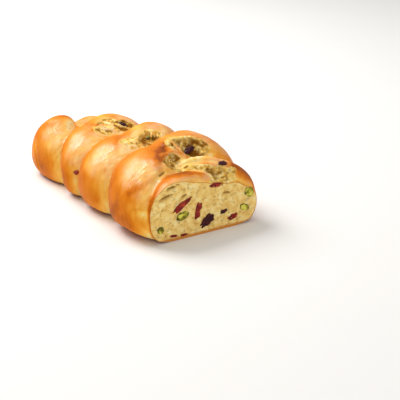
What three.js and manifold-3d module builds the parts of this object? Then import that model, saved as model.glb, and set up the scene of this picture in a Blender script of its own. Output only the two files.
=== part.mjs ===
// A braided sweet loaf with pistachios and dried cranberries, cut straight across at one end.
// Millimetres, +Z up. While it is made, y is the distance behind the cut, and x = 0 is the ridge;
// the finished loaf is then centred, so that it lies along Y with its cut end facing -Y, on z = 0.

import * as THREE from "three";
import { mergeVertices } from "three/addons/utils/BufferGeometryUtils.js";
import Module from "manifold-3d";

const wasm = await Module();
wasm.setup();

const LENGTH = 254;
const SOCKET_GAP = 0.3;

// Each strand that shows is one lobe. It comes up from under a side, rounds the shoulder and dives
// past the ridge. near and far are its two creases: how far behind the cut each one lies at the
// side, at the shoulder and at the ridge. reach is how far the lobe stands out from the ridge line,
// crest is its height, and end is the angle over the top at which it dives, 90 being the ridge.
const LOBES = {
  left: [
    { near: [-50, 4, -6], far: [12, 18, 32], reach: 59.5, crest: 61, end: 107 },
    { near: [-2, 12, 28], far: [71, 79, 90], reach: 67, crest: 71, end: 112 },
    { near: [71, 79, 90], far: [135, 132, 148], reach: 62, crest: 67, end: 112 },
    { near: [135, 132, 148], far: [169, 188, 212], reach: 58, crest: 63, end: 112 },
    { near: [169, 188, 212], far: [248, 238, 228], reach: 54, crest: 71, end: 80 },
  ],
  right: [
    { near: [-3, 4, 4], far: [22, 30, 42], reach: 61, crest: 63, end: 112 },
    { near: [22, 30, 42], far: [112, 104, 86], reach: 67, crest: 78, end: 104 },
    { near: [112, 104, 86], far: [164, 158, 146], reach: 62, crest: 72, end: 104 },
    { near: [164, 158, 146], far: [228, 226, 226], reach: 56, crest: 64.5, end: 104 },
    { near: [212, 212, 215], far: [252, 250, 246], reach: 45, crest: 54, end: 104 },
  ],
};
const STRAND = { thick: 22, belly: 21, start: -80, overlap: 1.06, rings: 16, sides: 20 };

// The dough behind the lobes, which shows at the cut and where a crease is deepest. It stands
// lower at the cut than further back. The tip is where the strands are pinched and tucked under.
const CORE = { front: -20, back: 240, width: 57, belly: 20, atCut: 19, above: 33, below: 26, rings: 13, sides: 24 };
const TIP = { at: [-6, 226, 22], half: [38, 27, 24] };

// The sole is flat under the middle and lifts a little towards the sides.
const SOLE = { flat: 30, span: 22, rise: 4 };

// Torn hollows along the ridge, where the strands pulled apart: middle, half sizes, turn about Z.
const TEARS = [
  { at: [-10, 30, 66], half: [10, 9, 8], turn: -20 },
  { at: [17, 45, 69], half: [18, 9, 8], turn: -42 },
  { at: [7, 102, 65], half: [10, 8, 7], turn: 20 },
  { at: [18, 167, 61], half: [9, 8, 8], turn: 15 },
  { at: [-6, 159, 60], half: [10, 8, 5], turn: -10 },
  { at: [4, 181, 60], half: [8, 7, 5], turn: 0 },
  { at: [20, 4, 57], half: [17, 8, 8], turn: 8 },
  { at: [-60, 2, 31], half: [5, 9, 2.6], turn: 10 },
  { at: [36, 138, 65], half: [8, 6, 5], turn: -30 },
];

// Gas holes in the crumb at the cut: x, height, half width, half height, tilt.
const HOLES = [
  { x: -34.5, z: 48.8, wide: 5.2, high: 1.6, tilt: 6 },
  { x: -39.7, z: 41.2, wide: 8.2, high: 2, tilt: 14 },
  { x: -21.6, z: 38.8, wide: 4, high: 1.4, tilt: 18 },
  { x: 24, z: 33, wide: 5, high: 1.5, tilt: -8 },
];
const HOLE_DEPTH = 4;

// Fruit: middle, half sizes, tilt about Y and turn about Z. taper makes one end thinner, waist
// pinches the middle, and wrinkle roughens the skin.
const CRANBERRY = { color: 0x6e1518, wrinkle: 0.16 };
const DARK_CRANBERRY = { color: 0x2a0d16, wrinkle: 0.2 };
const PISTACHIO = { color: 0xa8a02e, wrinkle: 0.05 };
const FRUIT = [
  { name: "cranberry_long", kind: CRANBERRY, at: [-23.2, 1.5, 31.6], half: [12.5, 5, 2.7], tilt: 29, taper: 0.62 },
  { name: "pistachio_round", kind: PISTACHIO, at: [-23.4, 2, 21.2], half: [6.8, 6, 3.9], tilt: 17 },
  { name: "cranberry_upright", kind: CRANBERRY, at: [-7.2, 1.5, 22.8], half: [8, 4, 3.3], tilt: 75, waist: 0.32 },
  { name: "cranberry_dark", kind: DARK_CRANBERRY, at: [2.6, 2, 10.8], half: [8, 6, 4.2], tilt: 32, taper: -0.4 },
  { name: "cranberry_dark_small", kind: DARK_CRANBERRY, at: [20.8, 1.5, 16.2], half: [4, 3.5, 1.6], tilt: 14 },
  { name: "pistachio_edge", kind: PISTACHIO, at: [48.7, 2, 29.3], half: [5.4, 6, 4.6], tilt: -35 },
  { name: "cranberry_seam", kind: CRANBERRY, at: [13.4, 2, 42.2], half: [8, 4, 1.7], tilt: -2, taper: 0.35 },
  { name: "pistachio_low", kind: PISTACHIO, at: [-46.3, 1.5, 12.6], half: [3.3, 4, 3.6], tilt: 0 },
  { name: "cranberry_sole_left", kind: CRANBERRY, at: [-33, 1, 4.6], half: [4.2, 3, 1.3], tilt: -7 },
  { name: "cranberry_sole_middle", kind: CRANBERRY, at: [-22, 1, 3.4], half: [3.2, 3, 1.1], tilt: 0 },
  { name: "cranberry_low", kind: CRANBERRY, at: [31, 1.5, 9.5], half: [5.4, 4, 2.6], tilt: 16, taper: 0.3 },
  { name: "pistachio_low_right", kind: PISTACHIO, at: [43.5, 2, 15.6], half: [5.8, 5, 3.2], tilt: -22 },
  { name: "cranberry_crust", kind: DARK_CRANBERRY, at: [27.5, 12.5, 56.6], half: [5.2, 3.2, 2.2], tilt: -10, turn: 15 },
  { name: "cranberry_tear", kind: DARK_CRANBERRY, at: [13.5, 44.5, 63.4], half: [7.5, 3.4, 2.6], tilt: 4, turn: 28 },
  { name: "cranberry_tear_small", kind: CRANBERRY, at: [30, 47, 66.6], half: [3, 2.4, 1.8], tilt: 20 },
  { name: "cranberry_far_tear", kind: DARK_CRANBERRY, at: [17, 170, 54.4], half: [6, 4.4, 3.6], tilt: -8 },
  { name: "pistachio_tear", kind: PISTACHIO, at: [10.5, 106.5, 62], half: [5.2, 3.6, 2.6], tilt: 4, turn: 20 },
  { name: "cranberry_side", kind: CRANBERRY, at: [-52.6, 139.5, 28], half: [3, 4, 2.4], tilt: 30 },
  { name: "cranberry_far_side", kind: DARK_CRANBERRY, at: [54, 110, 34], half: [3.4, 4.4, 2.6], tilt: -25 },
  { name: "pistachio_far_side", kind: PISTACHIO, at: [50, 163, 30], half: [3.6, 4.6, 3], tilt: -30 },
];

const radians = THREE.MathUtils.degToRad;
const signedPower = (value, exponent) => Math.sign(value) * Math.abs(value) ** exponent;

// A closed geometry as a solid that can be joined and cut.
function solidOf(geometry) {
  const bare = geometry.clone();
  bare.deleteAttribute("normal");
  bare.deleteAttribute("uv");
  const merged = mergeVertices(bare, 1e-4);
  return new wasm.Manifold(
    new wasm.Mesh({
      numProp: 3,
      vertProperties: new Float32Array(merged.attributes.position.array),
      triVerts: new Uint32Array(merged.index.array),
    }),
  );
}

function geometryOf(solid) {
  const { numProp, numVert, vertProperties, triVerts } = solid.getMesh();
  const points = new Float32Array(numVert * 3);
  for (let i = 0; i < numVert; i++) {
    points.set(vertProperties.subarray(i * numProp, i * numProp + 3), i * 3);
  }
  const geometry = new THREE.BufferGeometry();
  geometry.setAttribute("position", new THREE.BufferAttribute(points, 3));
  geometry.setIndex(new THREE.BufferAttribute(triVerts, 1));
  geometry.computeVertexNormals();
  return geometry;
}

// A closed skin over rings of points, all with the same number of points, and a point at each end.
function skinGeometry(rings, first, last) {
  const points = [first, ...rings.flat(), last];
  const sides = rings[0].length;
  const at = (ring, side) => 1 + ring * sides + (side % sides);
  const index = [];
  for (let s = 0; s < sides; s++) {
    index.push(0, at(0, s + 1), at(0, s));
    for (let r = 0; r + 1 < rings.length; r++) {
      index.push(at(r, s), at(r, s + 1), at(r + 1, s + 1));
      index.push(at(r, s), at(r + 1, s + 1), at(r + 1, s));
    }
    index.push(points.length - 1, at(rings.length - 1, s), at(rings.length - 1, s + 1));
  }
  const geometry = new THREE.BufferGeometry().setFromPoints(points);
  geometry.setIndex(index);
  return geometry;
}

// How far behind the cut a crease lies where the strand has turned by an angle over the loaf.
function creaseAt([side, shoulder, ridge], angle) {
  const t = THREE.MathUtils.clamp(angle / radians(100), 0, 1);
  return (1 - t) ** 2 * side + 2 * t * (1 - t) * shoulder + t ** 2 * ridge;
}

function lobeSolid(direction, { near, far, reach, crest, end }) {
  const { thick, belly, start, overlap, rings, sides } = STRAND;
  const middleAt = (angle) => {
    const out = (reach - thick) * signedPower(Math.cos(angle), 0.72);
    const rise = angle > 0 ? crest - thick - belly : belly * 0.7;
    const along = (creaseAt(near, angle) + creaseAt(far, angle)) / 2;
    return new THREE.Vector3(direction * out, along, belly + rise * signedPower(Math.sin(angle), 0.8));
  };
  const ringAt = (angle, swell) => {
    const middle = middleAt(angle);
    const outward = new THREE.Vector3(direction * Math.cos(angle), 0, Math.sin(angle));
    const half = ((creaseAt(far, angle) - creaseAt(near, angle)) / 2) * overlap;
    const ring = [];
    for (let s = 0; s < sides; s++) {
      const turn = (2 * Math.PI * s) / sides;
      const point = middle.clone().addScaledVector(outward, thick * swell * signedPower(Math.cos(turn), 0.85));
      point.y += half * swell * signedPower(Math.sin(turn), 0.85);
      ring.push(point);
    }
    return direction > 0 ? ring : ring.reverse();
  };
  const loops = [];
  for (let r = 1; r < rings; r++) {
    const t = (1 - Math.cos((Math.PI * r) / rings)) / 2;
    const swell = (1 - Math.abs(2 * t - 1) ** 3) ** 0.45;
    loops.push(ringAt(radians(THREE.MathUtils.lerp(start, end, t)), swell));
  }
  return solidOf(skinGeometry(loops, middleAt(radians(start)), middleAt(radians(end))));
}

function coreSolid() {
  const { front, back, width, belly, atCut, above, below, rings, sides } = CORE;
  const loops = [];
  for (let r = 1; r < rings; r++) {
    const t = r / rings;
    const along = THREE.MathUtils.lerp(front, back, t);
    const swell = Math.sqrt(1 - t ** 2.2);
    const top = along > 0 ? above : atCut;
    const loop = [];
    for (let s = 0; s < sides; s++) {
      const turn = (2 * Math.PI * s) / sides;
      const height = (Math.sin(turn) > 0 ? top * swell : below) * signedPower(Math.sin(turn), 0.8);
      const across = width * signedPower(Math.cos(turn), 0.7);
      loop.push(new THREE.Vector3(across * swell, along, belly + height));
    }
    loops.push(loop.reverse());
  }
  return solidOf(skinGeometry(loops, new THREE.Vector3(0, front, belly), new THREE.Vector3(0, back, belly)));
}

// The space the loaf may fill: behind the cut and above the sole.
function roomSolid() {
  const side = 80;
  const top = 120;
  const outline = new THREE.Shape().moveTo(-side, top);
  for (let x = -side; x <= side; x += 4) {
    outline.lineTo(x, SOLE.rise * (Math.max(0, Math.abs(x) - SOLE.flat) / SOLE.span) ** 2);
  }
  outline.lineTo(side, top);
  const room = new THREE.ExtrudeGeometry(outline, { depth: LENGTH + 50, bevelEnabled: false });
  room.rotateX(Math.PI / 2);
  room.translate(0, LENGTH + 50, 0);
  return solidOf(room);
}

function ellipsoidSolid(at, half, tilt, turn, segments) {
  const ball = new THREE.SphereGeometry(1, segments, Math.round(segments * 0.6));
  ball.scale(...half);
  ball.rotateY(-radians(tilt));
  ball.rotateZ(radians(turn));
  ball.translate(...at);
  return solidOf(ball);
}

function fruitSolid({ kind, at, half, tilt, turn = 0, taper = 0, waist = 0 }, grow) {
  const ball = new THREE.SphereGeometry(1, 10, 7);
  ball.rotateZ(Math.PI / 2);
  const points = ball.attributes.position;
  for (let i = 0; i < points.count; i++) {
    const point = new THREE.Vector3().fromBufferAttribute(points, i);
    const round = Math.sin(5 * point.x + at[0]) * Math.sin(6 * point.z + at[2]) * Math.sin(4 * point.y);
    const girth = (1 - taper * point.x) * (1 - waist * Math.exp(-((point.x / 0.28) ** 2)));
    point.multiplyScalar(1 + kind.wrinkle * round);
    points.setXYZ(
      i,
      point.x * (half[0] + grow),
      point.y * (half[1] * girth + grow),
      point.z * (half[2] * girth + grow),
    );
  }
  ball.rotateY(-radians(tilt));
  ball.rotateZ(radians(turn));
  ball.translate(...at);
  return solidOf(ball);
}

function doughSolid(room) {
  let dough = coreSolid().add(ellipsoidSolid(TIP.at, TIP.half, 0, 0, 20));
  for (const lobe of LOBES.left) dough = dough.add(lobeSolid(-1, lobe));
  for (const lobe of LOBES.right) dough = dough.add(lobeSolid(1, lobe));
  dough = dough.intersect(room);
  for (const { at, half, turn } of TEARS) dough = dough.subtract(ellipsoidSolid(at, half, 0, turn, 12));
  for (const { x, z, wide, high, tilt } of HOLES) {
    dough = dough.subtract(ellipsoidSolid([x, 0, z], [wide, HOLE_DEPTH, high], tilt, 0, 10));
  }
  for (const fruit of FRUIT) dough = dough.subtract(fruitSolid(fruit, SOCKET_GAP));
  const pieces = dough.decompose();
  return pieces.reduce((largest, piece) => (piece.volume() > largest.volume() ? piece : largest));
}

function namedMesh(name, solid, color, roughness) {
  const mesh = new THREE.Mesh(geometryOf(solid), new THREE.MeshStandardMaterial({ color, roughness }));
  mesh.name = name;
  return mesh;
}

const braidedLoaf = new THREE.Group();
const room = roomSolid();
braidedLoaf.add(namedMesh("loaf", doughSolid(room), 0xd9822b, 0.45));
for (const fruit of FRUIT) {
  const solid = fruitSolid(fruit, 0).intersect(room);
  braidedLoaf.add(namedMesh(fruit.name, solid, fruit.kind.color, 0.5));
}

const box = new THREE.Box3().setFromObject(braidedLoaf);
const centre = box.getCenter(new THREE.Vector3());
braidedLoaf.position.set(-centre.x, -centre.y, 0);

export default braidedLoaf;
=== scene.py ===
"""A braided sweet loaf with cranberries and pistachios, cut across near one end.

Points in the tables are millimetres in the loaf's own frame: across from the ridge, behind
the cut, and above the board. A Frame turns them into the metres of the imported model.
"""

from __future__ import annotations

import logging
import math
from collections.abc import Iterable, Iterator, Sequence
from contextlib import contextmanager
from dataclasses import dataclass
from enum import Enum
from typing import Any

import bmesh
import bpy
import numpy as np
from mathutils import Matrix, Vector
from mathutils.geometry import delaunay_2d_cdt
from mathutils.kdtree import KDTree

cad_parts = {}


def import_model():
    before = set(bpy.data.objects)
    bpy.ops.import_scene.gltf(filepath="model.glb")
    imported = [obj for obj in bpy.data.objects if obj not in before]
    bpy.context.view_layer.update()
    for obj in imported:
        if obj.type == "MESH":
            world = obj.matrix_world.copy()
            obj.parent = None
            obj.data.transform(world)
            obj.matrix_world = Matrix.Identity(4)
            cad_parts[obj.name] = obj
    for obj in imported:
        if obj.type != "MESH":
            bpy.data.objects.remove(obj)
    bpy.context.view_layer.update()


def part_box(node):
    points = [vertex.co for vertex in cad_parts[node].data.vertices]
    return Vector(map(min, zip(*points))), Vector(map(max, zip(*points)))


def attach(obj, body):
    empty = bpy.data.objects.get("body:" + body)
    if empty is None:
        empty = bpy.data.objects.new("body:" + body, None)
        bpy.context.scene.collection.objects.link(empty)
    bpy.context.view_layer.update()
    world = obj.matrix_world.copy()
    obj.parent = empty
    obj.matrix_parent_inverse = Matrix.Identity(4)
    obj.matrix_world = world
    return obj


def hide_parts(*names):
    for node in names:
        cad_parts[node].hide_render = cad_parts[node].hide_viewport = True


LOG = logging.getLogger("loaf")
MM = 0.001
BODY = "root"
Point = tuple[float, float, float]
Colour = tuple[float, float, float]


# ---------------------------------------------------------------- numbers and noise


def signed_power(value: np.ndarray, exponent: float) -> np.ndarray:
    """A power that keeps the sign of its base."""
    return np.sign(value) * np.abs(value) ** exponent


def ease(start: float, end: float, value: np.ndarray) -> np.ndarray:
    """A smooth step.

    Args:
        start: The value at which the step is 0.
        end: The value at which the step is 1, above or below start.
        value: Where to read the step.

    Returns:
        Numbers from 0 to 1.
    """
    t = np.clip((value - start) / (end - start), 0.0, 1.0)
    return t * t * (3.0 - 2.0 * t)


@dataclass(frozen=True)
class Grain:
    """Smooth noise in space that is the same at every run.

    Attributes:
        size: Distance over which it changes, in mm, along each axis.
        seed: Which noise it is.
    """

    size: Point
    seed: int

    CELLS = 32

    def at(self, points: np.ndarray) -> np.ndarray:
        """The noise at points in mm.

        Args:
            points: An array of N points.

        Returns:
            N numbers, nearly all between -0.7 and 0.7.
        """
        lattice = np.random.default_rng(self.seed).uniform(-1.0, 1.0, (self.CELLS,) * 3)
        place = points / np.array(self.size)
        cell = np.floor(place).astype(int)
        part = place - cell
        part = part * part * (3.0 - 2.0 * part)
        total = np.zeros(len(points))
        for corner in np.ndindex(2, 2, 2):
            weight = np.where(np.array(corner) == 1, part, 1.0 - part).prod(axis=1)
            index = (cell + np.array(corner)) % self.CELLS
            total += weight * lattice[index[:, 0], index[:, 1], index[:, 2]]
        return total


def path_distance(points: np.ndarray, path: Sequence[Point]) -> np.ndarray:
    """Distance of points from a line through several corners.

    Args:
        points: N points in mm.
        path: Two or more corners, or one point.

    Returns:
        The distance of each point in mm.
    """
    corners = np.array(path, float)
    best = np.linalg.norm(points - corners[0], axis=1)
    for a, b in zip(corners, corners[1:]):
        t = np.clip((points - a) @ (b - a) / ((b - a) @ (b - a)), 0.0, 1.0)
        best = np.minimum(best, np.linalg.norm(points - a - t[:, None] * (b - a), axis=1))
    return best


# ---------------------------------------------------------------- node trees


@dataclass(frozen=True)
class Socket:
    """One output of a node, on which maths is written as an expression."""

    graph: Graph
    out: bpy.types.NodeSocket

    def _maths(self, operation: str, first: Any, second: Any) -> Socket:
        """A Math node on two values or sockets."""
        return self.graph.out("ShaderNodeMath", {"operation": operation}, {0: first, 1: second})

    def __add__(self, other: Any) -> Socket:
        """Sum."""
        return self._maths("ADD", self, other)

    def __radd__(self, other: Any) -> Socket:
        """Sum with the number first."""
        return self._maths("ADD", other, self)

    def __sub__(self, other: Any) -> Socket:
        """Difference."""
        return self._maths("SUBTRACT", self, other)

    def __rsub__(self, other: Any) -> Socket:
        """Difference with the number first."""
        return self._maths("SUBTRACT", other, self)

    def __mul__(self, other: Any) -> Socket:
        """Product."""
        return self._maths("MULTIPLY", self, other)

    def __rmul__(self, other: Any) -> Socket:
        """Product with the number first."""
        return self._maths("MULTIPLY", other, self)

    def between(self, low: float, high: float) -> Socket:
        """A smooth step of the value.

        Args:
            low: The value at which the step is 0.
            high: The value at which the step is 1.

        Returns:
            A socket from 0 to 1.
        """
        settings = {"interpolation_type": "SMOOTHSTEP"}
        return self.graph.out("ShaderNodeMapRange", settings, {0: self, 1: low, 2: high})


class Graph:
    """A node tree that is filled by one method."""

    def __init__(self, tree: bpy.types.NodeTree) -> None:
        """Wraps a tree."""
        self.tree = tree

    def node(
        self,
        kind: str,
        settings: dict[str, Any] | None = None,
        values: dict[int | str, Any] | None = None,
    ) -> bpy.types.Node:
        """Adds one node.

        Args:
            kind: The node's type name.
            settings: Properties that are set first; "stops" gives a colour ramp's stops.
            values: What each input socket takes, a number, a tuple or a Socket.

        Returns:
            The new node.
        """
        made = self.tree.nodes.new(kind)
        for name, value in (settings or {}).items():
            if name == "stops":
                self._fill_ramp(made.color_ramp, value)
            else:
                setattr(made, name, value)
        for key, value in (values or {}).items():
            if isinstance(value, Socket):
                self.tree.links.new(value.out, made.inputs[key])
            else:
                made.inputs[key].default_value = value
        return made

    def socket(self, made: bpy.types.Node, key: int | str) -> Socket:
        """One output of a node as a Socket."""
        return Socket(self, made.outputs[key])

    def out(
        self,
        kind: str,
        settings: dict[str, Any] | None = None,
        values: dict[int | str, Any] | None = None,
        key: int | str = 0,
    ) -> Socket:
        """Adds one node and gives one of its outputs."""
        return self.socket(self.node(kind, settings, values), key)

    @staticmethod
    def _fill_ramp(ramp: bpy.types.ColorRamp, stops: Iterable[tuple[float, Colour]]) -> None:
        """Sets a colour ramp's stops.

        Args:
            ramp: The ramp.
            stops: Position and linear colour of each.
        """
        for i, (place, colour) in enumerate(stops):
            stop = ramp.elements[i] if i < 2 else ramp.elements.new(place)
            stop.position = place
            stop.color = (*colour, 1.0)


class Shading(Graph):
    """The node tree of one material, with the few steps that all finishes use."""

    def __init__(self, name: str) -> None:
        """Makes a material with an empty tree."""
        self.material = bpy.data.materials.new(name)
        self.material.use_nodes = True
        super().__init__(self.material.node_tree)
        self.tree.nodes.clear()
        self.place = self.out("ShaderNodeTexCoord", key="Object")

    def noise(self, per_mm: float, detail: float = 2.0) -> Socket:
        """Noise on Object coordinates.

        Args:
            per_mm: Features for each mm.
            detail: Octaves.

        Returns:
            A socket from 0 to 1.
        """
        values = {"Vector": self.place, "Scale": per_mm / MM, "Detail": detail}
        return self.out("ShaderNodeTexNoise", {}, values, "Fac")

    def cells(self, per_mm: float) -> Socket:
        """Distance to scattered points, with so many of them to a mm."""
        values = {"Vector": self.place, "Scale": per_mm / MM}
        return self.out("ShaderNodeTexVoronoi", {}, values)

    def attribute(self, name: str) -> Socket:
        """A number kept on the mesh's points."""
        return self.out("ShaderNodeAttribute", {"attribute_name": name}, key="Fac")

    def ramp(self, value: Socket, stops: Iterable[tuple[float, Colour]]) -> Socket:
        """A colour for each value."""
        return self.out("ShaderNodeValToRGB", {"stops": stops}, {0: value})

    def mix(self, share: Socket, first: Any, second: Any) -> Socket:
        """Blends two colours.

        Args:
            share: 0 for the first, 1 for the second.
            first: Colour or socket.
            second: Colour or socket.

        Returns:
            The blended colour.
        """
        first, second = ((*c, 1.0) if isinstance(c, tuple) else c for c in (first, second))
        values = {0: share, 6: first, 7: second}
        return self.out("ShaderNodeMix", {"data_type": "RGBA"}, values, 2)

    def finish(self, height: Socket, depth_mm: float, values: dict[str, Any]) -> bpy.types.Material:
        """Closes the tree with a shader and its relief.

        Args:
            height: Relief from 0 to 1.
            depth_mm: How deep the relief is.
            values: The shader's inputs by name.

        Returns:
            The material.
        """
        settings = {"Height": height, "Distance": depth_mm * MM, "Strength": 1.0}
        bump = self.out("ShaderNodeBump", {}, settings)
        shader = self.node("ShaderNodeBsdfPrincipled", {}, {**values, "Normal": bump})
        out = self.node("ShaderNodeOutputMaterial")
        self.tree.links.new(shader.outputs[0], out.inputs["Surface"])
        return self.material


# ---------------------------------------------------------------- finishes


@dataclass(frozen=True)
class CrustFinish:
    """Egg-washed crust: pale where it stretched, orange to dark brown where it baked longest.

    Attributes:
        bakes: Colour at each degree of baking.
        crumb: Colour of torn crumb.
        pit: Colour of the painted shade deep in tears and grooves.
        sheen: Pale peach painted over the crust where highlights fall, a painted highlight.
        gloss: Roughness of the egg wash.
    """

    bakes: tuple[tuple[float, Colour], ...] = (
        (0.0, (0.96, 0.80, 0.38)),
        (0.1, (0.96, 0.64, 0.16)),
        (0.22, (0.95, 0.50, 0.08)),
        (0.45, (0.83, 0.30, 0.02)),
        (0.66, (0.69, 0.18, 0.004)),
        (0.84, (0.40, 0.085, 0.003)),
        (1.0, (0.09, 0.015, 0.003)),
    )
    crumb: tuple[tuple[float, Colour], ...] = (
        (0.3, (0.66, 0.32, 0.04)),
        (0.46, (0.88, 0.56, 0.12)),
        (0.66, (0.97, 0.78, 0.34)),
    )
    pit: Colour = (0.27, 0.105, 0.009)
    sheen: Colour = (0.92, 0.57, 0.42)
    gloss: float = 0.36

    def material(self) -> bpy.types.Material:
        """Builds the material, which reads the numbers kept on the loaf."""
        s = Shading("crust")
        broad = s.noise(0.055, 3.0)
        fine = s.noise(0.55, 4.0)
        torn = s.attribute("torn")
        ragged = (torn + (fine - 0.5) * 0.7 + (broad - 0.5) * 0.4).between(0.3, 0.66)
        bake = s.attribute("bake") + (broad - 0.5) * 0.34 + (fine - 0.5) * 0.14
        skin = s.ramp(bake, self.bakes)
        inside = s.ramp(s.noise(0.28, 3.0), self.crumb)
        # Painted highlight: a pale peach mixed into the crust in patches where highlights fall, less
        # where it is brown.
        highlight_patches = 0.14 + s.noise(0.1, 2.0).between(0.4, 0.66) * 0.26
        painted_highlight_share = s.attribute("sheen") * highlight_patches * (1 - bake.between(0.4, 0.62))
        skin = s.mix(painted_highlight_share, skin, self.sheen)
        colour = s.mix(ragged, skin, inside)
        # Painted shade darkens the crust deep in tears and grooves.
        colour = s.mix(s.attribute("pit").between(0.08, 0.84), colour, self.pit)
        rough = self.gloss + ragged * 0.5 + (s.noise(0.9, 2.0) - 0.5) * 0.12
        skin_grain = (s.noise(1.4, 3.0) + s.noise(0.5, 2.0) * 1.4) * (1 - ragged)
        wash = s.attribute("wash") * (1 - ragged) * (0.3 + s.noise(0.35, 3.0) * 0.8)
        wash = wash * (0.2 + s.noise(0.95, 2.0).between(0.3, 0.7) * 1.5)
        values = {"Base Color": colour, "Roughness": rough, "Coat Weight": wash}
        values |= {"Coat Roughness": 0.2, "Specular IOR Level": 0.03}
        relief = skin_grain * 0.45 + s.cells(0.9) * ragged * 0.6
        return s.finish(relief, 0.35, values)


@dataclass(frozen=True)
class CrumbFinish:
    """Cut crumb: cream, open-pored, with painted shade in its pores and gas holes, a thin brown rim and a
    darker sole.

    Attributes:
        tones: Colour from pore walls to light crumb.
        rim: Colour of the crust seen end on.
        painted_pore_shade: Colour of the painted shade inside the pores and gas holes.
    """

    tones: tuple[tuple[float, Colour], ...] = (
        (0.32, (0.80, 0.50, 0.13)),
        (0.5, (0.93, 0.65, 0.20)),
        (0.68, (0.98, 0.80, 0.36)),
    )
    rim: Colour = (0.60, 0.22, 0.025)
    painted_pore_shade: Colour = (0.30, 0.15, 0.018)

    def material(self) -> bpy.types.Material:
        """Builds the material, which reads the cut face's rim and painted shade numbers."""
        s = Shading("crumb")
        body = s.ramp(s.noise(0.16, 5.0), self.tones)
        # Painted shade: small dark specks for tiny pores, and the shade kept on the face's points, darken
        # the crumb.
        shade_specks = s.noise(0.62, 2.0).between(0.64, 0.74) * s.noise(0.09, 2.0).between(0.4, 0.6) * 0.55
        shade_share = (s.attribute("pit") + shade_specks).between(0.05, 0.9)
        colour = s.mix(shade_share, body, self.painted_pore_shade)
        rim = (s.attribute("rim") + (s.noise(0.4) - 0.5) * 0.4).between(0.3, 0.85)
        colour = s.mix(rim, colour, self.rim)
        relief = s.cells(0.75) * 0.6 + s.noise(0.9, 3.0) * 0.5
        return s.finish(relief, 0.32, {"Base Color": colour, "Roughness": 0.88})


@dataclass(frozen=True)
class FruitFinish:
    """Skin and cut flesh of one kind of fruit.

    Attributes:
        name: The material's name.
        skin: Skin colours, low to high on the wrinkles.
        flesh: Colours where the knife went through.
        gloss: Roughness of the skin.
        coat: Weight of the wet layer.
    """

    name: str
    skin: tuple[tuple[float, Colour], ...]
    flesh: tuple[tuple[float, Colour], ...]
    gloss: float
    coat: float

    def material(self) -> bpy.types.Material:
        """Builds the material, which reads the fruit's cut number."""
        s = Shading(self.name)
        tone = s.noise(0.5, 4.0)
        skin = s.ramp(tone, self.skin)
        flesh = s.ramp(s.noise(0.2, 3.0), self.flesh)
        cut = (s.attribute("cut") + (s.noise(0.2) - 0.5) * 2.6).between(0.1, 0.9)
        colour = s.mix(cut, skin, flesh)
        rough = self.gloss + (s.noise(1.1, 2.0) - 0.5) * 0.2
        values = {"Base Color": colour, "Roughness": rough, "Coat Weight": self.coat}
        values |= {"Coat Roughness": 0.25, "Specular IOR Level": 0.16}
        relief = s.noise(1.6, 3.0) * 0.7 + s.cells(1.2) * 0.3
        return s.finish(relief, 0.3, values)


@dataclass(frozen=True)
class FloorFinish:
    """Plain pale floor."""

    colour: Colour = (0.86, 0.855, 0.845)

    def material(self) -> bpy.types.Material:
        """Builds the material."""
        s = Shading("floor")
        tone = s.mix(s.noise(0.01, 2.0), self.colour, tuple(0.985 * c for c in self.colour))
        return s.finish(s.noise(0.5), 0.01, {"Base Color": tone, "Roughness": 0.7})


class FruitKind(Enum):
    """The fruit and nuts in the dough, each with its slot and its finish."""

    CRANBERRY = FruitFinish(
        "cranberry",
        ((0.3, (0.07, 0.003, 0.003)), (0.5, (0.20, 0.008, 0.006)), (0.72, (0.38, 0.03, 0.012))),
        ((0.36, (0.10, 0.003, 0.003)), (0.5, (0.27, 0.012, 0.007)), (0.64, (0.50, 0.06, 0.02))),
        0.4,
        0.08,
    )
    DARK_CRANBERRY = FruitFinish(
        "dark_cranberry",
        ((0.3, (0.018, 0.003, 0.006)), (0.55, (0.05, 0.006, 0.012)), (0.75, (0.13, 0.015, 0.02))),
        ((0.3, (0.012, 0.001, 0.003)), (0.55, (0.045, 0.003, 0.006)), (0.7, (0.13, 0.012, 0.01))),
        0.4,
        0.08,
    )
    PISTACHIO = FruitFinish(
        "pistachio",
        ((0.35, (0.07, 0.03, 0.012)), (0.5, (0.12, 0.10, 0.012)), (0.68, (0.30, 0.28, 0.03))),
        ((0.4, (0.09, 0.07, 0.006)), (0.52, (0.38, 0.33, 0.016)), (0.64, (0.78, 0.70, 0.10))),
        0.5,
        0.04,
    )

    @property
    def slot(self) -> str:
        """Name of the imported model's material slot."""
        return self.value.name


# ---------------------------------------------------------------- meshes


@dataclass(frozen=True)
class Frame:
    """Turns the loaf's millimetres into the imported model's metres.

    Attributes:
        cut: Where the cut face lies along Y, in mm.
    """

    cut: float

    def metres(self, points: np.ndarray) -> np.ndarray:
        """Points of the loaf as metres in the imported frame."""
        return (points + np.array([0.0, self.cut, 0.0])) * MM

    def millimetres(self, points: np.ndarray) -> np.ndarray:
        """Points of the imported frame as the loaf's mm."""
        return points / MM - np.array([0.0, self.cut, 0.0])


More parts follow.
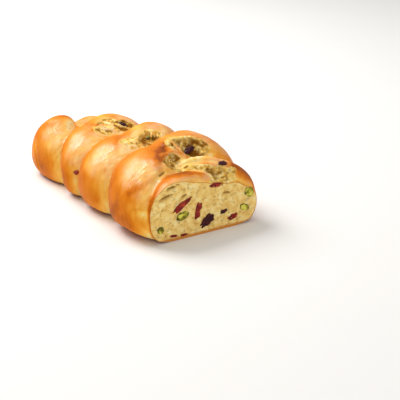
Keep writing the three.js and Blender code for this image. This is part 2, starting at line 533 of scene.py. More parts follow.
@dataclass
class Shell:
    """A closed skin of points and faces.

    Attributes:
        points: N points in mm.
        faces: The corners of each face.
    """

    points: np.ndarray
    faces: list[tuple[int, ...]]

    TUBE_STEPS = 12
    TUBE_ROUNDS = 16
    TUBE_BLUNT = 8
    TUBE_END = 0.02
    TUBE_CAP = 0.2

    @classmethod
    def swept(cls, rings: np.ndarray, first: np.ndarray, last: np.ndarray) -> Shell:
        """A skin over rings of points.

        Args:
            rings: An array of R rings of S points.
            first: The point that closes the first ring.
            last: The point that closes the last ring.

        Returns:
            The closed skin.
        """
        count, sides = rings.shape[:2]
        points = np.vstack([rings.reshape(-1, 3), first, last])
        faces: list[tuple[int, ...]] = []
        for s in range(sides):
            n = (s + 1) % sides
            faces.append((count * sides, n, s))
            for r in range(count - 1):
                a, b = r * sides, (r + 1) * sides
                faces.append((a + s, a + n, b + n, b + s))
            end = (count - 1) * sides
            faces.append((count * sides + 1, end + s, end + n))
        return cls(points, faces)

    @classmethod
    def ball(cls, half: Point, rings: int = 24, sides: int = 36) -> Shell:
        """An ellipsoid about the origin, its poles on X.

        Args:
            half: Half sizes in mm.
            rings: Rings between the poles.
            sides: Points on a ring.

        Returns:
            The closed skin.
        """
        lean = np.linspace(0, math.pi, rings + 2)[1:-1, None]
        turn = np.linspace(0, 2 * math.pi, sides, endpoint=False)[None, :]
        unit = np.stack(
            [
                np.cos(lean) * np.ones_like(turn),
                np.sin(lean) * np.cos(turn),
                np.sin(lean) * np.sin(turn),
            ],
            axis=2,
        )
        size = np.array(half)
        return cls.swept(unit * size, np.array([half[0], 0, 0]), np.array([-half[0], 0, 0]))

    @classmethod
    def tube(cls, path: Sequence[Point], radii: Sequence[float], sides: int = 16) -> Shell:
        """A round bar along a smooth path, thin at its ends.

        Args:
            path: Corners of the path in mm.
            radii: The radius at each corner.
            sides: Points on a ring.

        Returns:
            The closed skin.
        """
        corners = np.array(path, float)
        knots = np.linspace(0, 1, len(corners))
        t = np.linspace(0, 1, cls.TUBE_STEPS * len(corners))
        line = np.stack([np.interp(t, knots, corners[:, i]) for i in range(3)], axis=1)
        girth = np.interp(t, knots, radii)
        for _ in range(cls.TUBE_ROUNDS):
            line[1:-1] = (line[:-2] + 2 * line[1:-1] + line[2:]) / 4
            girth[1:-1] = (girth[:-2] + 2 * girth[1:-1] + girth[2:]) / 4
        ahead = np.gradient(line, axis=0)
        ahead /= np.linalg.norm(ahead, axis=1)[:, None]
        side = np.cross(ahead, [0.0, 0.0, 1.0])
        side /= np.linalg.norm(side, axis=1)[:, None] + 1e-9
        up = np.cross(side, ahead)
        round_end = np.sqrt(np.clip(1 - np.abs(2 * t - 1) ** cls.TUBE_BLUNT, cls.TUBE_END, 1))
        girth = (girth * round_end)[:, None, None]
        turn = np.linspace(0, 2 * math.pi, sides, endpoint=False)[None, :, None]
        rings = line[:, None] + girth * (np.cos(turn) * side[:, None] + np.sin(turn) * up[:, None])
        cap = ahead * cls.TUBE_CAP
        return cls.swept(rings, line[0] - cap[0], line[-1] + cap[-1])

    def placed(self, at: Point, tilt: float = 0.0, turn: float = 0.0) -> Shell:
        """Turned and moved.

        Args:
            at: Where its middle goes.
            tilt: Degrees by which +X rises.
            turn: Degrees about Z.

        Returns:
            The skin in its place.
        """
        a, b = math.radians(-tilt), math.radians(turn)
        lift = np.array([[math.cos(a), 0, math.sin(a)], [0, 1, 0], [-math.sin(a), 0, math.cos(a)]])
        spin = np.array([[math.cos(b), -math.sin(b), 0], [math.sin(b), math.cos(b), 0], [0, 0, 1]])
        return Shell(self.points @ lift.T @ spin.T + np.array(at), self.faces)

    def roughened(self, size: float, depth: float, seed: int) -> Shell:
        """With an uneven skin.

        Args:
            size: Distance over which it changes, in mm.
            depth: How far it moves, in mm.
            seed: Which noise moves it.

        Returns:
            The uneven skin.
        """
        middle = self.points.mean(axis=0)
        away = self.points - middle
        away /= np.linalg.norm(away, axis=1)[:, None]
        moved = Grain((size, size, size), seed).at(self.points)[:, None] * depth
        return Shell(self.points + away * moved, self.faces)


def added(name: str, data: Any) -> bpy.types.Object:
    """A new object in the scene, at the origin."""
    made = bpy.data.objects.new(name, data)
    bpy.context.scene.collection.objects.link(made)
    return made


@contextmanager
def edited(mesh: bpy.types.Mesh) -> Iterator[bmesh.types.BMesh]:
    """A mesh opened for editing, which is written back at the end."""
    sheet = bmesh.new()
    sheet.from_mesh(mesh)
    yield sheet
    sheet.to_mesh(mesh)
    sheet.free()


def opened(sheet: bmesh.types.BMesh, plane: Vector) -> list[bmesh.types.BMEdge]:
    """Cuts away all that lies before a plane.

    Args:
        sheet: What is cut.
        plane: A point of the plane, which faces along Y.

    Returns:
        The edges of the opening.
    """
    geom = [*sheet.verts, *sheet.edges, *sheet.faces]
    bmesh.ops.bisect_plane(sheet, geom=geom, plane_co=plane, plane_no=(0, -1, 0), clear_outer=True)
    return [edge for edge in sheet.edges if edge.is_boundary]


def mesh_object(name: str, shells: Sequence[Shell], frame: Frame) -> bpy.types.Object:
    """One object made of several closed skins, facing outwards.

    Args:
        name: The object's name.
        shells: The skins in mm.
        frame: Where they go.

    Returns:
        The object, at the origin.
    """
    points: list[np.ndarray] = []
    faces: list[tuple[int, ...]] = []
    count = 0
    for shell in shells:
        points.append(shell.points)
        faces += [tuple(c + count for c in f) for f in shell.faces]
        count += len(shell.points)
    mesh = bpy.data.meshes.new(name)
    mesh.from_pydata(frame.metres(np.vstack(points)), [], faces)
    with edited(mesh) as sheet:
        bmesh.ops.remove_doubles(sheet, verts=sheet.verts, dist=1e-7)
        bmesh.ops.recalc_face_normals(sheet, faces=sheet.faces)
    return added(name, mesh)


def apply_modifiers(obj: bpy.types.Object) -> None:
    """Puts the evaluated mesh in place of the object's own and removes its modifiers."""
    bpy.context.view_layer.update()
    graph = bpy.context.evaluated_depsgraph_get()
    result = bpy.data.meshes.new_from_object(obj.evaluated_get(graph))
    old = obj.data
    obj.modifiers.clear()
    obj.data = result
    bpy.data.meshes.remove(old)


def remesh(obj: bpy.types.Object, size: float) -> None:
    """Joins an object's skins into one even mesh.

    Args:
        obj: The object.
        size: Length of a face's side, in mm.
    """
    step = obj.modifiers.new("even", "REMESH")
    step.mode = "VOXEL"
    step.voxel_size = size * MM
    apply_modifiers(obj)


def carve(obj: bpy.types.Object, tool: bpy.types.Object, materials: str = "INDEX") -> None:
    """Cuts one object out of another and removes the tool.

    Args:
        obj: What is cut.
        tool: What cuts.
        materials: How the cut's walls take their material.
    """
    step = obj.modifiers.new("carve", "BOOLEAN")
    step.operation = "DIFFERENCE"
    step.solver = "MANIFOLD"
    step.material_mode = materials
    step.object = tool
    apply_modifiers(obj)
    bpy.data.objects.remove(tool)


class Surface:
    """A mesh as arrays in mm, so that relief and tone are worked out for all points at once."""

    def __init__(self, mesh: bpy.types.Mesh, frame: Frame) -> None:
        """Reads the mesh's points, normals and edges."""
        self.mesh = mesh
        self.frame = frame
        count = len(mesh.vertices)
        flat = np.empty(count * 3, np.float32)
        mesh.vertices.foreach_get("co", flat)
        self.points = frame.millimetres(flat.reshape(-1, 3).astype(float))
        mesh.vertices.foreach_get("normal", flat)
        self.normals = flat.reshape(-1, 3).astype(float)
        ends = np.empty(len(mesh.edges) * 2, np.int32)
        mesh.edges.foreach_get("vertices", ends)
        self.ends = ends.reshape(-1, 2)
        self.degree = np.bincount(self.ends.ravel(), minlength=count)[:, None].clip(1)

    def _spread(self, values: np.ndarray) -> np.ndarray:
        """The mean of each point's neighbours."""
        total = np.zeros_like(values)
        a, b = self.ends[:, 0], self.ends[:, 1]
        for column in range(values.shape[1]):
            total[:, column] = np.bincount(a, values[b, column], len(values))
            total[:, column] += np.bincount(b, values[a, column], len(values))
        return total / self.degree

    def smoothed(self, values: np.ndarray, rounds: int) -> np.ndarray:
        """Values spread over their neighbours.

        Args:
            values: N numbers, or N points.
            rounds: How many times they spread.

        Returns:
            The spread values, of the same shape.
        """
        table = values.reshape(len(values), -1)
        for _ in range(rounds):
            table = (table + self._spread(table)) / 2
        return table.reshape(values.shape)

    def hollowness(self, rounds: int) -> np.ndarray:
        """How far each point lies under its smoothed surroundings, in mm."""
        return ((self.smoothed(self.points, rounds) - self.points) * self.normals).sum(axis=1)

    def write(self) -> None:
        """Puts the points back into the mesh."""
        self.mesh.vertices.foreach_set("co", self.frame.metres(self.points).ravel())
        self.mesh.update()

    def store(self, name: str, values: np.ndarray) -> None:
        """Keeps a number for each point on the mesh.

        Args:
            name: The attribute's name.
            values: N numbers.
        """
        kept = self.mesh.attributes.new(name, "FLOAT", "POINT")
        kept.data.foreach_set("value", values.astype(np.float32))


# ---------------------------------------------------------------- scattered pieces


@dataclass(frozen=True)
class Strewn:
    """Small uneven blobs that a geometry tree scatters over a mesh.

    Attributes:
        name: Name of the tree and of what it makes.
        mask: Attribute of the mesh that says how densely they lie, 0 to 1.
        per_cm2: How many lie on a square centimetre where the mask is 1.
        least: Smallest half sizes in mm.
        most: Largest half sizes in mm.
        turn: Largest turn about each axis, in degrees.
        on_surface: Whether their Z follows the surface's normal.
        rugged: How far noise moves their skin, in mm.
        seed: Which scatter it is.
        shade: Share of the surface's painted shade that they take.
    """

    name: str
    mask: str
    per_cm2: float
    least: Point
    most: Point
    turn: Point
    on_surface: bool
    rugged: float
    seed: int
    shade: float = 0.3

    PER_M2 = 1e4
    GRAIN = 0.55
    TURN_SEED = 5

    def _inputs(self, material: bpy.types.Material) -> dict[str, tuple[str, Any]]:
        """The tree's named inputs, each with its socket type and value."""
        return {
            "Density": ("NodeSocketFloat", self.per_cm2 * self.PER_M2),
            "Least": ("NodeSocketVector", [v * MM for v in self.least]),
            "Most": ("NodeSocketVector", [v * MM for v in self.most]),
            "Turn": ("NodeSocketVector", [math.radians(v) for v in self.turn]),
            "Rugged": ("NodeSocketFloat", self.rugged * MM),
            "Seed": ("NodeSocketInt", self.seed),
            "Material": ("NodeSocketMaterial", material),
        }

    def _tree(self, inputs: dict[str, tuple[str, Any]]) -> bpy.types.NodeTree:
        """Builds the tree.

        Args:
            inputs: The named inputs besides the mesh.

        Returns:
            The tree, which gives the blobs alone.
        """
        tree = bpy.data.node_groups.new(self.name, "GeometryNodeTree")
        face = tree.interface
        face.new_socket("Mesh", in_out="INPUT", socket_type="NodeSocketGeometry")
        for title, (kind, _) in inputs.items():
            face.new_socket(title, in_out="INPUT", socket_type=kind)
        face.new_socket("Blobs", in_out="OUTPUT", socket_type="NodeSocketGeometry")
        g = Graph(tree)
        given = g.node("NodeGroupInput")
        want = {name: g.socket(given, name) for name in ("Mesh", *inputs)}
        mask = g.out("GeometryNodeInputNamedAttribute", {}, {"Name": self.mask})
        strewing = {"Mesh": want["Mesh"], "Density": mask * want["Density"], "Seed": want["Seed"]}
        spots = g.node("GeometryNodeDistributePointsOnFaces", {}, strewing)
        share = g.out("FunctionNodeRandomValue", {}, {"Seed": want["Seed"]}, 1)
        blend = {"Factor": share * share * share, 4: want["Least"], 5: want["Most"]}
        size = g.out("ShaderNodeMix", {"data_type": "VECTOR"}, blend, 1)
        back = {0: want["Turn"], 1: (-1.0, -1.0, -1.0)}
        other = g.out("ShaderNodeVectorMath", {"operation": "MULTIPLY"}, back)
        spread = {"Min": other, "Max": want["Turn"], "Seed": self.TURN_SEED}
        lean = g.out("FunctionNodeRandomValue", {"data_type": "FLOAT_VECTOR"}, spread)
        turned = g.out("FunctionNodeEulerToRotation", {}, {0: lean})
        if self.on_surface:
            both = {0: g.socket(spots, "Rotation"), 1: turned}
            turned = g.out("FunctionNodeRotateRotation", {"rotation_space": "LOCAL"}, both)
        ball = g.out("GeometryNodeMeshIcoSphere", {}, {"Radius": 1.0, "Subdivisions": 2}, "Mesh")
        placing = {"Points": g.socket(spots, "Points"), "Instance": ball}
        placing |= {"Rotation": turned, "Scale": size}
        blobs = g.out("GeometryNodeInstanceOnPoints", {}, placing)
        blobs = g.out("GeometryNodeRealizeInstances", {}, {0: blobs})
        # The blobs take part of the painted shade of the surface under them.
        pit = g.out("GeometryNodeInputNamedAttribute", {}, {"Name": "pit"})
        keeping = {0: blobs, "Name": "pit", "Value": pit * self.shade}
        blobs = g.out("GeometryNodeStoreNamedAttribute", {}, keeping)
        where = g.out("GeometryNodeInputPosition")
        noise = g.out("ShaderNodeTexNoise", {}, {"Vector": where, "Scale": self.GRAIN / MM}, "Color")
        middle = {0: noise, 1: (0.5, 0.5, 0.5)}
        push = g.out("ShaderNodeVectorMath", {"operation": "SUBTRACT"}, middle)
        far = {0: push, "Scale": want["Rugged"] * 2}
        offset = g.out("ShaderNodeVectorMath", {"operation": "SCALE"}, far)
        blobs = g.out("GeometryNodeSetPosition", {}, {"Geometry": blobs, "Offset": offset})
        blobs = g.out("GeometryNodeSetShadeSmooth", {}, {"Geometry": blobs})
        painting = {"Geometry": blobs, "Material": want["Material"]}
        g.node("NodeGroupOutput", {}, {0: g.out("GeometryNodeSetMaterial", {}, painting)})
        return tree

    def over(self, bearer: bpy.types.Object, material: bpy.types.Material) -> bpy.types.Object:
        """Scatters the blobs.

        Args:
            bearer: The object they lie on, which isn't changed.
            material: Their finish.

        Returns:
            A new object of the blobs alone, as a plain mesh.
        """
        made = added(self.name, bearer.data.copy())
        inputs = self._inputs(material)
        step = made.modifiers.new("strew", "NODES")
        step.node_group = self._tree(inputs)
        for item in step.node_group.interface.items_tree:
            if item.in_out == "INPUT" and item.name in inputs:
                step[item.identifier] = inputs[item.name][1]
        apply_modifiers(made)
        return made


PORES = Strewn(
    "pores", "open", 10.0, (0.35, 0.5, 0.22), (1.7, 1.1, 0.75), (10, 28, 10), False, 0.12, 4, 0.7
)
RAGS = Strewn(
    "torn_rags", "torn_deep", 20.0, (0.25, 0.8, 0.2), (0.8, 2.4, 0.4), (45, 45, 180), True, 0.6, 9, 0.55
)
STRINGS = Strewn(
    "torn_strings", "torn_deep", 9.0, (0.25, 2.0, 0.2), (0.6, 5.5, 0.4), (24, 30, 42), False, 0.5, 11
)


# ---------------------------------------------------------------- the loaf


@dataclass(frozen=True)
class Lobe:
    """One strand where it shows: up from under a side, round the shoulder, down past the ridge.

    Attributes:
        near: How far behind the cut its near crease lies at side, shoulder and ridge.
        far: The same for its far crease.
        reach: How far it stands out from the ridge line.
        crest: Its height.
        end: Degrees over the top at which it dives.
        side: -1 for the left, 1 for the right.
    """

    near: Point
    far: Point
    reach: float
    crest: float
    end: float
    side: int

    THICK = 22.0
    BELLY = 21.0
    START = -80.0
    OVERLAP = 1.06
    TUCK = 0.99
    FULL_FAR = 0.72
    SLACK_NEAR = 0.94
    BLUNT = 0.45
    FLANK = 0.72
    SHOULDER = 0.8
    SQUARE = 0.85
    UNDER = 0.7
    RIDGE_ANGLE = 100.0
    RINGS = (56, 56)
    SAMPLES = (160, 64)

    @staticmethod
    def crease(line: Point, angle: np.ndarray) -> np.ndarray:
        """Where a crease lies behind the cut.

        Args:
            line: Its places at side, shoulder and ridge.
            angle: Radians over the loaf.

        Returns:
            Millimetres behind the cut.
        """
        t = np.clip(angle / math.radians(Lobe.RIDGE_ANGLE), 0, 1)
        return (1 - t) ** 2 * line[0] + 2 * t * (1 - t) * line[1] + t**2 * line[2]

    def rings(self, count: int, sides: int) -> tuple[np.ndarray, np.ndarray, np.ndarray]:
        """Rings of points round the strand.

        Args:
            count: How many rings.
            sides: Points on a ring.

        Returns:
            The points, and for each point its angle over the loaf in degrees and how far it is
            from the near crease, -1, to the far crease, 1.
        """
        t = (1 - np.cos(np.linspace(0, math.pi, count + 1)[1:-1])) / 2
        swell = ((1 - np.abs(2 * t - 1) ** 3) ** self.BLUNT)[:, None]
        angle = np.radians(self.START + (self.end - self.START) * t)[:, None]
        near, far = self.crease(self.near, angle), self.crease(self.far, angle)
        rise = np.where(angle > 0, self.crest - self.THICK - self.BELLY, self.BELLY * self.UNDER)
        out = (self.reach - self.THICK) * signed_power(np.cos(angle), self.FLANK)
        height = self.BELLY + rise * signed_power(np.sin(angle), self.SHOULDER)
        turn = np.linspace(0, 2 * math.pi, sides, endpoint=False)[None, :]
        round_off = np.where(np.sin(turn) > 0, self.FULL_FAR, self.SLACK_NEAR)
        overlap = np.where(np.sin(turn) > 0, self.TUCK, self.OVERLAP)
        bulge = self.THICK * swell * signed_power(np.cos(turn), round_off)
        across = signed_power(np.sin(turn), self.SQUARE) * np.ones_like(angle)
        x = self.side * (out + bulge * np.cos(angle))
        y = (near + far) / 2 + (far - near) / 2 * overlap * swell * across
        z = height + bulge * np.sin(angle)
        return np.stack([x, y, z], axis=2), np.degrees(angle) * np.ones_like(turn), across

    def shell(self) -> Shell:
        """The strand as a closed skin."""
        rings = self.rings(*self.RINGS)[0]
        return Shell.swept(rings, rings[0].mean(axis=0), rings[-1].mean(axis=0))


@dataclass(frozen=True)
class Core:
    """The dough behind the strands.

    Attributes:
        front: Where it starts, behind the cut.
        back: Where it ends.
        width: Half its width.
        belly: Height of its widest line.
        at_cut: Its height above that line at the cut.
        above: Its height above that line further back.
        below: Its depth below that line.
    """

    front: float = -20.0
    back: float = 240.0
    width: float = 57.0
    belly: float = 20.0
    at_cut: float = 19.0
    above: float = 33.0
    below: float = 26.0

    SLOPE = 20.0
    POINTED = 2.2
    FLANK = 0.7
    SHOULDER = 0.8

    def shell(self) -> Shell:
        """The core as a closed skin."""
        t = np.linspace(0, 1, 41)[1:-1, None]
        along = self.front + (self.back - self.front) * t
        swell = np.sqrt(1 - t**self.POINTED)
        turn = np.linspace(0, 2 * math.pi, 72, endpoint=False)[None, :]
        top = self.at_cut + (self.above - self.at_cut) * np.clip(along / self.SLOPE, 0, 1)
        rise = np.where(np.sin(turn) > 0, top * swell, self.below)
        x = self.width * swell * signed_power(np.cos(turn), self.FLANK)
        z = self.belly + rise * signed_power(np.sin(turn), self.SHOULDER)
        rings = np.stack([x, along * np.ones_like(turn), z], axis=2)
        ends = np.array([[0, self.front, self.belly], [0, self.back, self.belly]])
        return Shell.swept(rings, ends[0], ends[1])


@dataclass(frozen=True)
class Hollow:
    """A place torn or sunk into the loaf.

    Attributes:
        at: Its middle.
        half: Its half sizes.
        turn: Degrees about Z.
        ragged: How uneven its walls are, in mm.
        dark: How much painted shade darkens its bottom.
    """

    at: Point
    half: Point
    turn: float = 0.0
    ragged: float = 1.6
    dark: float = 0.55

    GRAIN = 3.4
    WALL = 1.2
    INNER = 0.12
    OUTER = 0.1

    def shell(self, seed: int) -> Shell:
        """The hollow with an uneven skin."""
        placed = Shell.ball(self.half).placed(self.at, turn=self.turn)
        return placed.roughened(self.GRAIN, self.ragged, seed)

    def inside(self, points: np.ndarray, margin: float | np.ndarray) -> np.ndarray:
        """How surely points lie in the hollow or on its wall.

        Args:
            points: N points in mm.
            margin: How much larger it is taken to be.

        Returns:
            1 inside, falling to 0 outside.
        """
        b = math.radians(self.turn)
        away = points - np.array(self.at)
        x = away[:, 0] * math.cos(b) + away[:, 1] * math.sin(b)
        y = -away[:, 0] * math.sin(b) + away[:, 1] * math.cos(b)
        half = np.array(self.half) + self.WALL
        size = np.sqrt((x / half[0]) ** 2 + (y / half[1]) ** 2 + (away[:, 2] / half[2]) ** 2)
        return ease(margin + self.OUTER, margin - self.INNER, size)


@dataclass(frozen=True)
class Strip:
    """A tube along a line: a groove or split that is cut, or a lip or rag that is laid in.

    Attributes:
        path: Corners of its line.
        radii: Its radius at each corner.
        torn: 1 where it shows crumb, 0 where it has crust.
        bake: Tone of its crust, 0 palest.
        ragged: How uneven the walls of a cut are, in mm.
    """

    path: tuple[Point, ...]
    radii: tuple[float, ...]
    torn: float = 0.0
    bake: float = 0.1
    ragged: float = 0.3

    GRAIN = 2.8

    def shell(self, seed: int) -> Shell:
        """The strip with an uneven skin."""
        return Shell.tube(self.path, self.radii).roughened(self.GRAIN, self.ragged, seed)

    def near(self, points: np.ndarray, start: float, end: float) -> np.ndarray:
        """How near points lie to the strip.

        Args:
            points: N points in mm.
            start: Distance, in radii, at which it is 0.
            end: Distance, in radii, at which it is 1.

        Returns:
            Numbers from 0 to 1.
        """
        return ease(start, end, path_distance(points, self.path) / max(self.radii))


@dataclass(frozen=True)
class Tone:
    """A change over part of every strand.

    Attributes:
        amount: The change where it is full.
        ramps: What it depends on, each with where it starts and where it is full.
    """

    amount: float
    ramps: tuple[tuple[str, float, float], ...]

    def at(self, place: dict[str, np.ndarray]) -> np.ndarray:
        """The change at points whose places are known by name."""
        return self.amount * math.prod(ease(start, end, place[key]) for key, start, end in self.ramps)


@dataclass(frozen=True)
class Stroke:
    """A soft-edged line or spot where tone and relief differ.

    Attributes:
        path: Corners of its line, or one point.
        width: Distance in mm over which it fades.
        bake: Change of tone.
        rise: Height in mm, negative for a groove.
        torn: How much crumb shows.
        pit: How much painted shade darkens it, so that it looks deep.
    """

    path: tuple[Point, ...]
    width: float
    bake: float = 0.0
    rise: float = 0.0
    torn: float = 0.0
    pit: float = 0.0


@dataclass(frozen=True)
class Fan:
    """Thin ridges where dough stretched beside a tear.

    Attributes:
        first: Corners of the first ridge.
        last: Corners of the last ridge, as many as of the first.
        count: How many ridges there are.
        width: Distance in mm over which each fades.
        bake: Change of tone.
        rise: Height in mm.
    """

    first: tuple[Point, ...]
    last: tuple[Point, ...]
    count: int
    width: float = 0.9
    bake: float = -0.22
    rise: float = 0.7

    def strokes(self, seed: int) -> list[Stroke]:
        """The ridges, unevenly spaced.

        Args:
            seed: Which unevenness they have.

        Returns:
            One stroke for each ridge.
        """
        rng = np.random.default_rng(seed)
        made: list[Stroke] = []
        for i in range(self.count):
            share = (i + rng.uniform(-0.3, 0.3)) / max(self.count - 1, 1)
            line = np.array(self.first) * (1 - share) + np.array(self.last) * share
            line[:, :2] += rng.uniform(-0.7, 0.7, (len(line), 2))
            size = rng.uniform(0.6, 1.2)
            path = tuple(tuple(corner) for corner in line)
            made.append(Stroke(path, self.width * size, self.bake * size, self.rise * size))
            low = tuple((x, y + 1.6, z) for x, y, z in path)
            made.append(Stroke(low, self.width * size, 0.12 * size, -0.4 * size))
        return made


LOBES = (
    Lobe((-50, 4, -6), (12, 18, 32), 59.5, 61, 107, -1),
    Lobe((-2, 12, 28), (71, 79, 90), 67, 71, 112, -1),
    Lobe((71, 79, 90), (135, 132, 148), 62, 67, 112, -1),
    Lobe((135, 132, 148), (169, 188, 212), 58, 63, 112, -1),
    Lobe((169, 188, 212), (248, 238, 228), 54, 71, 80, -1),
    Lobe((-3, 4, 4), (22, 30, 42), 61, 63, 112, 1),
    Lobe((22, 30, 42), (112, 104, 86), 67, 78, 104, 1),
    Lobe((112, 104, 86), (164, 158, 146), 62, 72, 104, 1),
    Lobe((164, 158, 146), (228, 226, 226), 56, 64.5, 104, 1),
    Lobe((212, 212, 215), (252, 250, 246), 45, 54, 104, 1),
)

TIP = Hollow((-6, 226, 22), (38, 27, 24), ragged=0.0)

SEAM = Strip(
    ((-18, 2, 45), (-3, 2, 43.4), (8, 2, 40.6), (22, 2, 38.6), (34, 2, 37.2), (46, 3, 30)),
    (6.0, 6.0, 5.2, 5.0, 4.8, 4.0),
    ragged=0.2,
)

# dark is how much painted shade darkens each hollow's bottom.
HOLLOWS = (
    Hollow((-10, 29, 65.4), (11.5, 10.5, 10), turn=-20, ragged=1.6, dark=0.8),
    Hollow((17, 45, 69), (18, 9, 10), turn=-42, ragged=2.6, dark=0.85),
    Hollow((7, 102, 65), (10, 8, 8.5), turn=20, dark=0.7),
    Hollow((18, 167, 61), (9, 8, 9.5), turn=15, dark=1.0),
    Hollow((-6, 159, 60), (10, 8, 5), turn=-10, ragged=1.0),
    Hollow((4, 181, 60), (8, 7, 5), ragged=1.8),
    Hollow((21, 3, 53.5), (11.5, 6, 5.5), turn=8, ragged=1.8, dark=0.7),
    Hollow((13.5, -0.5, 44.4), (6.4, 3, 3.4), ragged=0.5),
    Hollow((10, 110, 63), (2.6, 2.6, 3.2), ragged=0.4),
    Hollow((16.5, 107, 62.5), (3.0, 2.4, 3.0), ragged=0.4),
)

GASHES = (
    Strip(((-57, 2, 34), (-51, 8, 45), (-43, 14, 51.6), (-35, 19, 56.4), (-26, 24.5, 59.4)),
         (1.2, 2.0, 2.3, 2.6, 2.8)),
    Strip(((-62.6, 14.5, 31), (-60.6, 10, 31.6), (-58.6, 6, 32), (-57.2, 1, 32.4)), (0.3, 1, 1.7, 2.2)),
    Strip(((-10, 22, 58), (-2, 18.5, 58.4), (6, 14, 57.4), (13, 9, 54.6), (21, 5, 50.4), (31, 3, 48)),
         (2.0, 3.0, 3.6, 4.0, 4.2, 3.0), torn=1.0, ragged=1.2),
)

FOLDS = (
    Strip(
        ((-26, 33, 62), (-19, 39, 64.6), (-6, 45.5, 65.4), (2, 43, 63.2), (8, 38, 60)),
        (1.4, 2.0, 2.2, 1.8, 1.2),
        bake=0.5,
    ),
    Strip(
        ((-5, 31, 54), (4.5, 30, 56.5), (12.5, 26, 57.5), (20, 21, 57.6), (30, 14, 55)),
        (4.6, 5.4, 5.2, 4.8, 4.0),
        bake=0.02,
        torn=0.4,
    ),
    Strip(((4, 58, 69.2), (3.7, 52, 66.6), (6, 46, 64)), (1.2, 1.6, 1.2), bake=0.3),
    Strip(((15, 58, 68), (12.5, 56, 65.5), (7, 50, 63)), (1.0, 1.4, 1.0), bake=0.05, torn=0.6),
    Strip(((23, 49, 63.5), (26, 45, 61), (29, 41, 60)), (1.2, 2.2, 1.2), torn=1.0),
    Strip(((9, 104, 60), (13, 106, 63.6), (13, 111, 65)), (1.2, 1.4, 1.2), bake=0.05, torn=0.5),
    Strip(((12, 171, 58), (14, 166, 56), (20, 163, 55)), (1.0, 1.6, 1.2), bake=0.05, torn=0.6),
    Strip(((2, 186, 58.6), (6, 182, 56.6), (7, 176, 57)), (1.0, 1.6, 1.0), bake=0.3),
    Strip(((-9, 166, 57.4), (-1, 163, 56.4), (6, 160, 54)), (0.8, 1.3, 1.0), bake=0.2),
    Strip(((-4, 14.5, 55.6), (3, 10.5, 54), (9, 7, 51), (14.5, 4.2, 46.5)), (1.0, 1.3, 1.4, 1.2),
         bake=0.0, torn=0.2),
    Strip(((4, 17, 56.4), (13, 13, 54.6), (22, 10, 52.5), (31, 7.5, 50)), (0.9, 1.2, 1.2, 0.9), torn=1),
    Strip(((19, 7, 47.4), (24, 6, 49), (30, 5.4, 47.6)), (1.0, 1.5, 1.0), torn=1.0),
)
